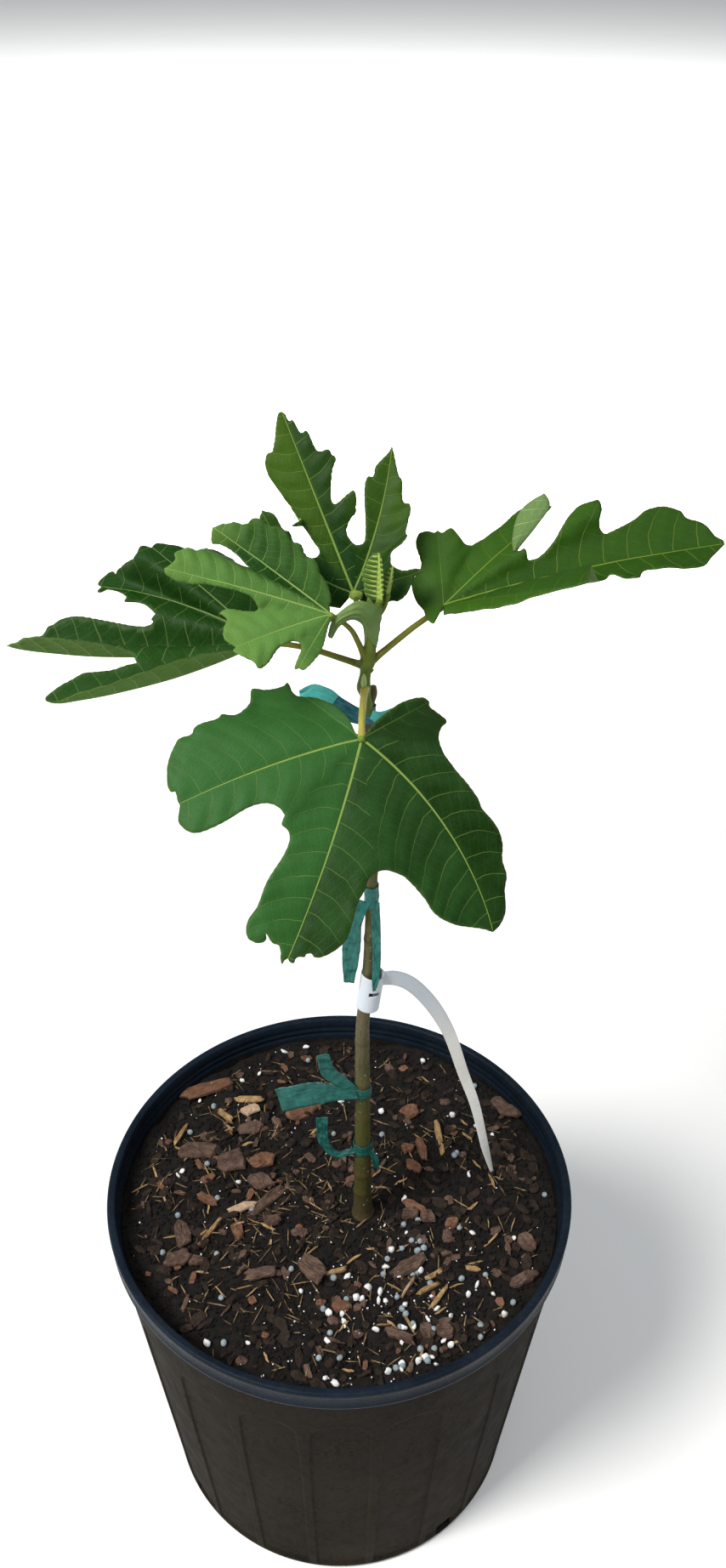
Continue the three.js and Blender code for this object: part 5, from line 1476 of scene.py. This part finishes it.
def grain_uv(points, faces, shift=0.0):
    """Pattern places along the grain, in millimetres."""
    return [(points[v][1] + 0.7 * points[v][2] + shift, points[v][0]) for face in faces for v in face]


def loose_bit(name, kind, size, seed, material):
    points, faces = bit_shape(kind, size, np.random.default_rng(seed))
    bit = make_piece(name, points, faces, [material], uv=grain_uv(points, faces, 7.3 * seed),
                     smooth=kind in ("bead", "lump"))
    bpy.context.scene.collection.objects.unlink(bit)
    return bit


def scatter_tree():
    """Strews bits over a surface: more near a spot, raised, and each turned, tilted and sized by a seed."""
    tree = bpy.data.node_groups.new("strew bits", "GeometryNodeTree")
    face = tree.interface
    for label, kind in (("Surface", "Geometry"), ("Bits", "Collection"), ("Density", "Float"),
                        ("Seed", "Int"), ("Smallest", "Vector"), ("Largest", "Vector"), ("Tilt", "Float"),
                        ("Rise", "Float"), ("Spot", "Vector"), ("Spot Reach", "Float"),
                        ("Elsewhere", "Float"), ("Finish", "Material")):
        face.new_socket(label, in_out="INPUT", socket_type="NodeSocket" + kind)
    face.new_socket("Bits", in_out="OUTPUT", socket_type="NodeSocketGeometry")
    b = Board(tree)
    given = b.place("NodeGroupInput").outputs
    seed, tilt = given["Seed"], given["Tilt"]

    def between(low, high, shift):
        return b.place("FunctionNodeRandomValue", {0: low, 1: high, "Seed": b.math("ADD", seed, shift)},
                       data_type="FLOAT_VECTOR").outputs[0]

    where = b.place("GeometryNodeInputPosition").outputs[0]
    far = b.vector("DISTANCE", where, given["Spot"])["Value"]
    thick = b.ease(far, 0.0, given["Spot Reach"], 1.0, given["Elsewhere"])
    facing_up = b.math("GREATER_THAN", b.parts(b.place("GeometryNodeInputNormal").outputs[0])["Z"], 0.5)
    strewn = b.place("GeometryNodeDistributePointsOnFaces", {
        "Mesh": given["Surface"], "Density": b.times(thick, given["Density"]), "Seed": seed,
        "Selection": facing_up})
    size = between(given["Smallest"], given["Largest"], 1.0)
    back = b.times(tilt, -1.0)
    turn = between(b.joined(back, back, 0.0), b.joined(tilt, tilt, 2 * math.pi), 2.0)
    source = b.place("GeometryNodeCollectionInfo", {"Collection": given["Bits"], "Separate Children": True,
                                                    "Reset Children": True})
    placed = b.place("GeometryNodeInstanceOnPoints", {
        "Points": strewn.outputs["Points"], "Instance": source.outputs[0], "Pick Instance": True,
        "Rotation": turn, "Scale": size})
    up = b.joined(0.0, 0.0, given["Rise"])
    raised = b.place("GeometryNodeTranslateInstances", {
        "Instances": placed.outputs[0], "Translation": up, "Local Space": False})
    real = b.place("GeometryNodeRealizeInstances", {0: raised.outputs[0]})
    done = b.place("GeometryNodeSetMaterial", {"Geometry": real.outputs[0], "Material": given["Finish"]})
    b.feed(b.place("NodeGroupOutput").inputs["Bits"], done.outputs[0])
    return tree


STREW = scatter_tree()


def strew(name, ground, bits, finish, **settings):
    """Strews a set of bits over the ground piece and returns them as one plain mesh."""
    shelf = bpy.data.collections.new(name + "_bits")
    for bit in bits:
        shelf.objects.link(bit)
    carrier = put_in(name + "_carrier", ground.data)
    modifier = carrier.modifiers.new("strew", "NODES")
    modifier.node_group = STREW
    sockets = {s.name: s.identifier for s in STREW.interface.items_tree if s.in_out == "INPUT"}
    modifier[sockets["Bits"]] = shelf
    modifier[sockets["Finish"]] = finish
    for key, value in settings.items():
        modifier[sockets[key.replace("_", " ").title()]] = value
    shape = bpy.data.meshes.new_from_object(carrier.evaluated_get(bpy.context.evaluated_depsgraph_get()))
    carrier.modifiers.remove(modifier)
    bpy.data.objects.remove(carrier)
    for bit in bits:
        bpy.data.objects.remove(bit)
    bpy.data.collections.remove(shelf)
    return shape


def ground_patch(edge):
    """The part of the bed's top that bits are strewn on: out to that radius, and clear of the trunk."""
    rows, columns = 60, 180
    points = soil_rings(np.linspace(0.5, edge, rows), columns).reshape(-1, 3)
    faces = grid_faces(rows, columns, flip=True)
    middle = points[faces].mean(axis=1)
    clear = np.hypot(middle[:, 0] - TRUNK_FOOT[0], middle[:, 1] - TRUNK_FOOT[1]) > STREW_CLEAR
    return make_piece("patch", points, faces[clear], [])


# The chips, splinters and grains strewn over the mix: shape, size, finish, how many to a square metre,
# smallest and largest share of that size, tilt in radians, how high they sit, the spot round which they lie
# thickest, how far it reaches, how thick they lie elsewhere, and the gap that they keep from the wall.
SPREADS = {
    "crumbs_black": dict(kind="grain", size=(3.2, 2.6, 2.0), finish=CRUMB_DARK, density=95000,
                         shares=(0.4, 1.5), tilt=3.1, rise=0.2, spot=(60, 10), reach=260,
                         elsewhere=0.75, gap=2.5),
    "crumbs_brown": dict(kind="grain", size=(2.2, 1.5, 1.1), finish=CRUMB_BROWN, density=26000,
                         shares=(0.3, 1.3), tilt=3.1, rise=0.6, spot=(-25, 10), reach=130,
                         elsewhere=0.35, gap=2.5),
    "fibres": dict(kind="sliver", size=(10, 0.7, 0.5), finish=STRAW, density=15000, shares=(0.3, 1.4),
                   tilt=0.35, rise=1.2, spot=(-45, 10), reach=160, elsewhere=0.35, gap=8),
    "chips_dark": dict(kind="chip", size=(9, 5.5, 2.4), finish=CHIP_DARK, density=9000, shares=(0.3, 1.3),
                       tilt=0.5, rise=0.8, gap=8),
    "chips_brown": dict(kind="chip", size=(8.5, 5, 2.2), finish=CHIP_BROWN, density=3300, shares=(0.25, 1.25),
                        tilt=0.4, rise=1.2, spot=(-30, 0), reach=130, elsewhere=0.45, gap=9),
    "chips_red": dict(kind="chip", size=(8, 4.6, 2), finish=CHIP_RED, density=1900, shares=(0.25, 1.2),
                      tilt=0.35, rise=1.4, spot=(-35, 25), reach=130, elsewhere=0.5, gap=9),
    "splinters": dict(kind="sliver", size=(11, 1.6, 1), finish=SPLINTER, density=3000, shares=(0.3, 1.3),
                      tilt=0.3, rise=1.6, spot=(10, -30), reach=150, elsewhere=0.45, gap=9),
    "white_dust": dict(kind="grain", size=(1.4, 1.2, 1.1), finish=PERLITE, density=14000, shares=(0.3, 1.1),
                       tilt=3.1, rise=1.3, spot=(25, -75), reach=110, elsewhere=0.2, gap=4),
    "perlite": dict(kind="lump", size=(4.6, 4.1, 3.6), finish=PERLITE, density=9000, shares=(0.4, 1.2),
                    tilt=3.1, rise=1.6, spot=(30, -90), reach=75, elsewhere=0.08, gap=6),
    "beads": dict(kind="bead", size=(3.6, 3.6, 3.6), finish=BEAD, density=6000, shares=(0.85, 1.15), tilt=3.1,
                  rise=1.6, spot=(40, -75), reach=85, elsewhere=0.08, gap=6),
}
for number, (name, given) in enumerate(SPREADS.items()):
    patch = ground_patch(inside_radius(SOIL_TOP) - given["gap"])
    bits = [loose_bit(f"{name}_{i}", given["kind"], given["size"], 40 * number + i, given["finish"])
            for i in range(BITS_A_SET)]
    small, large = given["shares"]
    spot = given.get("spot", (0, 0))
    shape = strew(name, patch, bits, given["finish"], density=float(given["density"]), seed=number + 3,
                  smallest=(small, small, small * 1.1), largest=(large, large, large * 0.9),
                  tilt=given["tilt"], rise=given["rise"] * MM,
                  spot=(spot[0] * MM, spot[1] * MM, SOIL_TOP * MM),
                  spot_reach=given.get("reach", 300) * MM, elsewhere=float(given.get("elsewhere", 1)))
    bpy.data.objects.remove(patch)
    finish_piece(put_in(name, shape), "potting_mix", "potting_mix")

# The larger chips and splinters that lie on top: middle x and y, length, width, heading in degrees.
LARGE_CHIPS = {
    "large_chips_red": (CHIP_RED, 3.2, [
        (-88, 86, 36, 13, 26), (-49, 25, 17, 10, 22), (-81, -4, 16, 6, -27), (-61, -25, 14, 7, -71),
        (-24, 67, 26, 10, 30), (46, 66, 13, 12, 21), (52, 32, 18, 7, -81), (43, 34, 9, 6, -12),
        (46, 21, 11, 7, -29), (45, -10, 18, 5, -32), (67, -22, 8, 7, -1), (0, -78, 11, 8, -3)]),
    "large_chips_brown": (CHIP_BROWN, 3.6, [
        (-90, 36, 25, 14, 3), (-68, 26, 19, 19, 20), (-57, 53, 19, 10, 10), (-49, 11, 17, 10, -40),
        (-45, -3, 34, 8, 48), (-41, -19, 11, 9, 14), (-94, -28, 19, 10, -77), (-95, -44, 17, 12, 29),
        (-85, -45, 11, 6, -1), (-46, -55, 18, 8, 8), (-16, -54, 21, 15, -42), (53, -18, 10, 10, 9),
        (42, -16, 10, 7, -10), (40, -52, 25, 9, 33), (58, -94, 11, 8, -1), (111, -35, 14, 9, -54),
        (108, 66, 24, 11, -48), (106, -62, 18, 7, 29), (48, -93, 11, 8, -69), (33, -96, 19, 6, -27)]),
    "large_splinters": (SPLINTER, 2.4, [
        (-76, -23, 22, 2.4, 58), (-3, -54, 15, 3, 19), (-60, 76, 21, 5, -3), (-74, 63, 14, 5, -44),
        (-102, 49, 22, 3, 70), (64, 42, 29, 4, -82), (55, -57, 16, 3, 34), (50, -65, 16, 3, 28),
        (56, -71, 18, 3, 53), (77, -53, 9, 3, -15)]),
    "pale_wood": (PALE_WOOD, 2.6, [(-59, -9, 20, 6.5, 20), (-58, 67, 13, 7, 28), (39, -65, 17, 1.6, 57)]),
}


def lay_chips(name, material, thick, rows, seed):
    """One piece of many chips, each lying on the mix with a slight tip and roll."""
    rng = np.random.default_rng(seed)
    points, faces, uv = [], [], []
    count = 0
    for x, y, length, width, heading in rows:
        shape, own = flake(np.array([length, width, thick * rng.uniform(0.8, 1.2)]), rng)
        uv += grain_uv(shape, own, rng.uniform(0, 50))
        turn, tip, roll = math.radians(heading), rng.uniform(-0.12, 0.12), rng.uniform(-0.2, 0.2)
        shape[:, 2] += shape[:, 0] * tip + shape[:, 1] * roll
        ground = float(soil_height(np.array(x), np.array(y)))
        along, across = (math.cos(turn), math.sin(turn), 0), (-math.sin(turn), math.cos(turn), 0)
        points.append(shape @ np.array([along, across, (0, 0, 1)]) + [x, y, ground + 0.45 * thick + 0.6])
        faces += [[v + count for v in face] for face in own]
        count += len(shape)
    piece = make_piece(name, np.vstack(points), faces, [material], uv=uv, smooth=False)
    finish_piece(piece, "potting_mix", "potting_mix")


for number, (name, (material, thick, rows)) in enumerate(LARGE_CHIPS.items()):
    lay_chips(name, material, thick, rows, 300 + number)

# ---------------------------------------------------------------- label and ties


def make_strip(stations, thickness, step, facing, columns=9, crinkle=0.0, curl=0.0, seed=0):
    """A band along the stations, with rounded edges, a crinkled surface and a little curl across it."""
    line = [p for p, _ in stations]
    fine = np.linspace(0, 1, 40 * len(line))
    dense = catmull(line, fine)
    path, at = even_steps(dense, step)
    index = np.interp(at, travel(dense), fine)
    width = catmull(np.array([[w] for _, w in stations], float), index)[:, 0]
    along = unit(np.gradient(path, axis=0))
    across = unit(np.cross(along, unit(facing)))
    through = unit(np.cross(along, across))
    u = np.linspace(-1, 1, columns)
    lift = crinkle * bumps(seed, at[:, None] / 2.6, 2.4 * u[None, :]) + curl * (u[None, :] ** 2)
    edge_wave = 1 + 0.05 * crinkle * bumps(seed + 4, at / 3)
    middle = (path[:, None] + across[:, None] * (u[None, :] * (width * edge_wave / 2)[:, None])[..., None]
              + through[:, None] * lift[..., None])
    return closed_sheet(middle, through[:, None], thickness, at)


def make_band(low, high, inner, thickness, sides, step, crinkle=0.0, seed=0, slot=None):
    """A closed wall round the trunk between two centres, with a slot from turn to turn and share to share."""
    low, high = np.array(low, float), np.array(high, float)
    length = np.linalg.norm(high - low)
    axis = (high - low) / length
    side = unit(np.cross(NEARLY_X, axis))
    other = np.cross(axis, side)
    rows = max(int(length / step), 6) + 1
    turn = ring_turns(sides)
    share = np.linspace(0, 1, rows)
    wave = crinkle * bumps(seed, share[:, None] * length / 2.2, 3.2 * np.cos(turn), 3.2 * np.sin(turn))
    centres = (low + axis * length * share[:, None])[:, None]
    out = side * np.cos(turn)[:, None] + other * np.sin(turn)[:, None]
    skins = [centres + out[None] * (radius + wave)[..., None] for radius in (inner + thickness, inner)]
    hole = np.zeros((rows - 1, sides), bool)
    if slot:
        past_start = (np.degrees(turn) + 180 / sides - slot[0]) % 360
        middle_share = (share[:-1] + share[1:]) / 2
        open_rows = (middle_share > slot[2]) & (middle_share < slot[3])
        hole = (past_start < slot[1] - slot[0])[None] & open_rows[:, None]
    faces = double_wall(hole, foot=True)
    uv = [(v // sides % rows * length / rows / 10, v % sides / sides * 3) for face in faces for v in face]
    return np.array(skins).reshape(-1, 3), faces, uv


def trunk_at(height):
    """The trunk's centre and radius at that height."""
    fine = np.linspace(0, 1, 600)
    spots = catmull([p for p, _ in TRUNK], fine)
    k = int(np.argmin(np.abs(spots[:, 2] - height)))
    return spots[k], catmull([[r] for _, r in TRUNK], fine)[k, 0]


def finish_sheet(name, shape, material, slot, node):
    points, faces, uv = shape
    finish_piece(make_piece(name, points, faces, [material], uv=uv), slot, node)


sleeve = make_band(SLEEVE_FOOT, SLEEVE_TOP, SLEEVE_RADIUS - LABEL_THICKNESS, LABEL_THICKNESS, 72, 0.6,
                   slot=SLEEVE_SLOT)
finish_sheet("label_sleeve", sleeve, LABEL, "label_plastic", "plant_label")
tail = make_strip(TAIL, LABEL_THICKNESS, 1.2, (0.35, -1, 0.4), columns=11, curl=0.3)
finish_sheet("label_tail", tail, LABEL, "label_plastic", "plant_label")

TAPES = {"cyan": TAPE_CYAN, "teal": TAPE_TEAL, "blue": TAPE_BLUE, "green": TAPE_GREEN}
for number, (name, tie) in enumerate(TIES.items()):
    (low, low_radius), (high, high_radius) = (trunk_at(tie["height"] + s * tie["band"] / 2) for s in (-1, 1))
    inner = max(low_radius, high_radius) + TAPE_CLEARANCE
    band = make_band(low, high, inner, TAPE, 64, 0.35, crinkle=0.28, seed=60 + number)
    finish_sheet(name + "_band", band, TAPES[tie["look"]], "tie_tape", name)
    for i, (look, end) in enumerate(tie["ends"]):
        loose = make_strip(end, TAPE, 0.8, (0, -1, 0.35), columns=13, crinkle=0.6, curl=-0.4,
                           seed=80 + 7 * number + i)
        finish_sheet(f"{name}_end_{i + 1}", loose, TAPES[look], "tie_tape", name)

# ---------------------------------------------------------------- floor, light and camera


GROUND_REACH = 20.0  # all from here on in metres
GROUND_DROP = 0.0005
CAMERA_PLACE = (0, -0.528, 0.893)
CAMERA_TURNS = (34.5, 1.3, 0.5)  # degrees down, to the right, and of roll
SENSOR = 36.0
LENS_SHARE = 1560 / 1844  # the lens as a share of the picture's height


def make_floor():
    material, b, shader = new_material("pale_floor", 0.9, 0.1)
    b.feed(shader["Base Color"], b.mix(b.noise(b.here(), 2.0), (0.86, 0.86, 0.85), (0.9, 0.9, 0.89)))
    mesh = bpy.data.meshes.new("floor")
    corners = np.array([(-1, -1, 0), (1, -1, 0), (1, 1, 0), (-1, 1, 0)]) * GROUND_REACH - (0, 0, GROUND_DROP)
    mesh.from_pydata(corners.tolist(), [], [(0, 1, 2, 3)])
    mesh.materials.append(material)
    put_in("floor", mesh)


def stand(thing, right, up, back, place):
    """Turns a lamp or the camera to face away from back, and puts it in its place."""
    rows = [[*row, p] for row, p in zip(np.stack([right, up, back], -1), place)]
    thing.matrix_world = Matrix(rows + [[0, 0, 0, 1]])


def add_light(name, place, target, width, power, colour):
    lamp = bpy.data.lights.new(name, "AREA")
    lamp.shape, lamp.size, lamp.energy, lamp.color = "DISK", width, power, colour
    way = unit(np.array(target) - np.array(place))
    right = unit(np.cross(way, (0, 0, 1)))
    stand(put_in(name, lamp), right, np.cross(right, way), -way, place)


def set_camera():
    pitch, yaw, roll = map(math.radians, CAMERA_TURNS)
    ahead = np.array([math.sin(yaw) * math.cos(pitch), math.cos(yaw) * math.cos(pitch), -math.sin(pitch)])
    right = np.array([math.cos(yaw), -math.sin(yaw), 0])
    up = np.cross(right, ahead)
    tilted = math.cos(roll) * right + math.sin(roll) * up
    upright = -math.sin(roll) * right + math.cos(roll) * up
    lens = bpy.data.cameras.new("camera")
    lens.sensor_width, lens.lens = SENSOR, SENSOR * LENS_SHARE
    lens.clip_start, lens.clip_end = 0.05, 30
    camera = put_in("camera", lens)
    stand(camera, tilted, upright, -ahead, CAMERA_PLACE)
    bpy.context.scene.camera = camera


def set_sky():
    world = bpy.data.worlds.new("soft sky")
    world.use_nodes = True
    sky = world.node_tree.nodes["Background"].inputs
    sky["Color"].default_value = (0.93, 0.97, 1.0, 1)
    sky["Strength"].default_value = 0.36
    bpy.context.scene.world = world


make_floor()
set_sky()
add_light("key", (-1.5, -1.0, 2.5), (0, 0, 0.4), 1.2, 120, (1.0, 0.98, 0.94))
add_light("fill", (1.0, -0.6, 2.6), (0, 0, 0.3), 1.8, 22, (0.95, 0.97, 1.0))
add_light("backdrop", (0, 2.2, 3.2), (0, 9, 0), 2.5, 900, (1.0, 1.0, 1.0))
set_camera()
bpy.context.scene.view_settings.view_transform = "Standard"
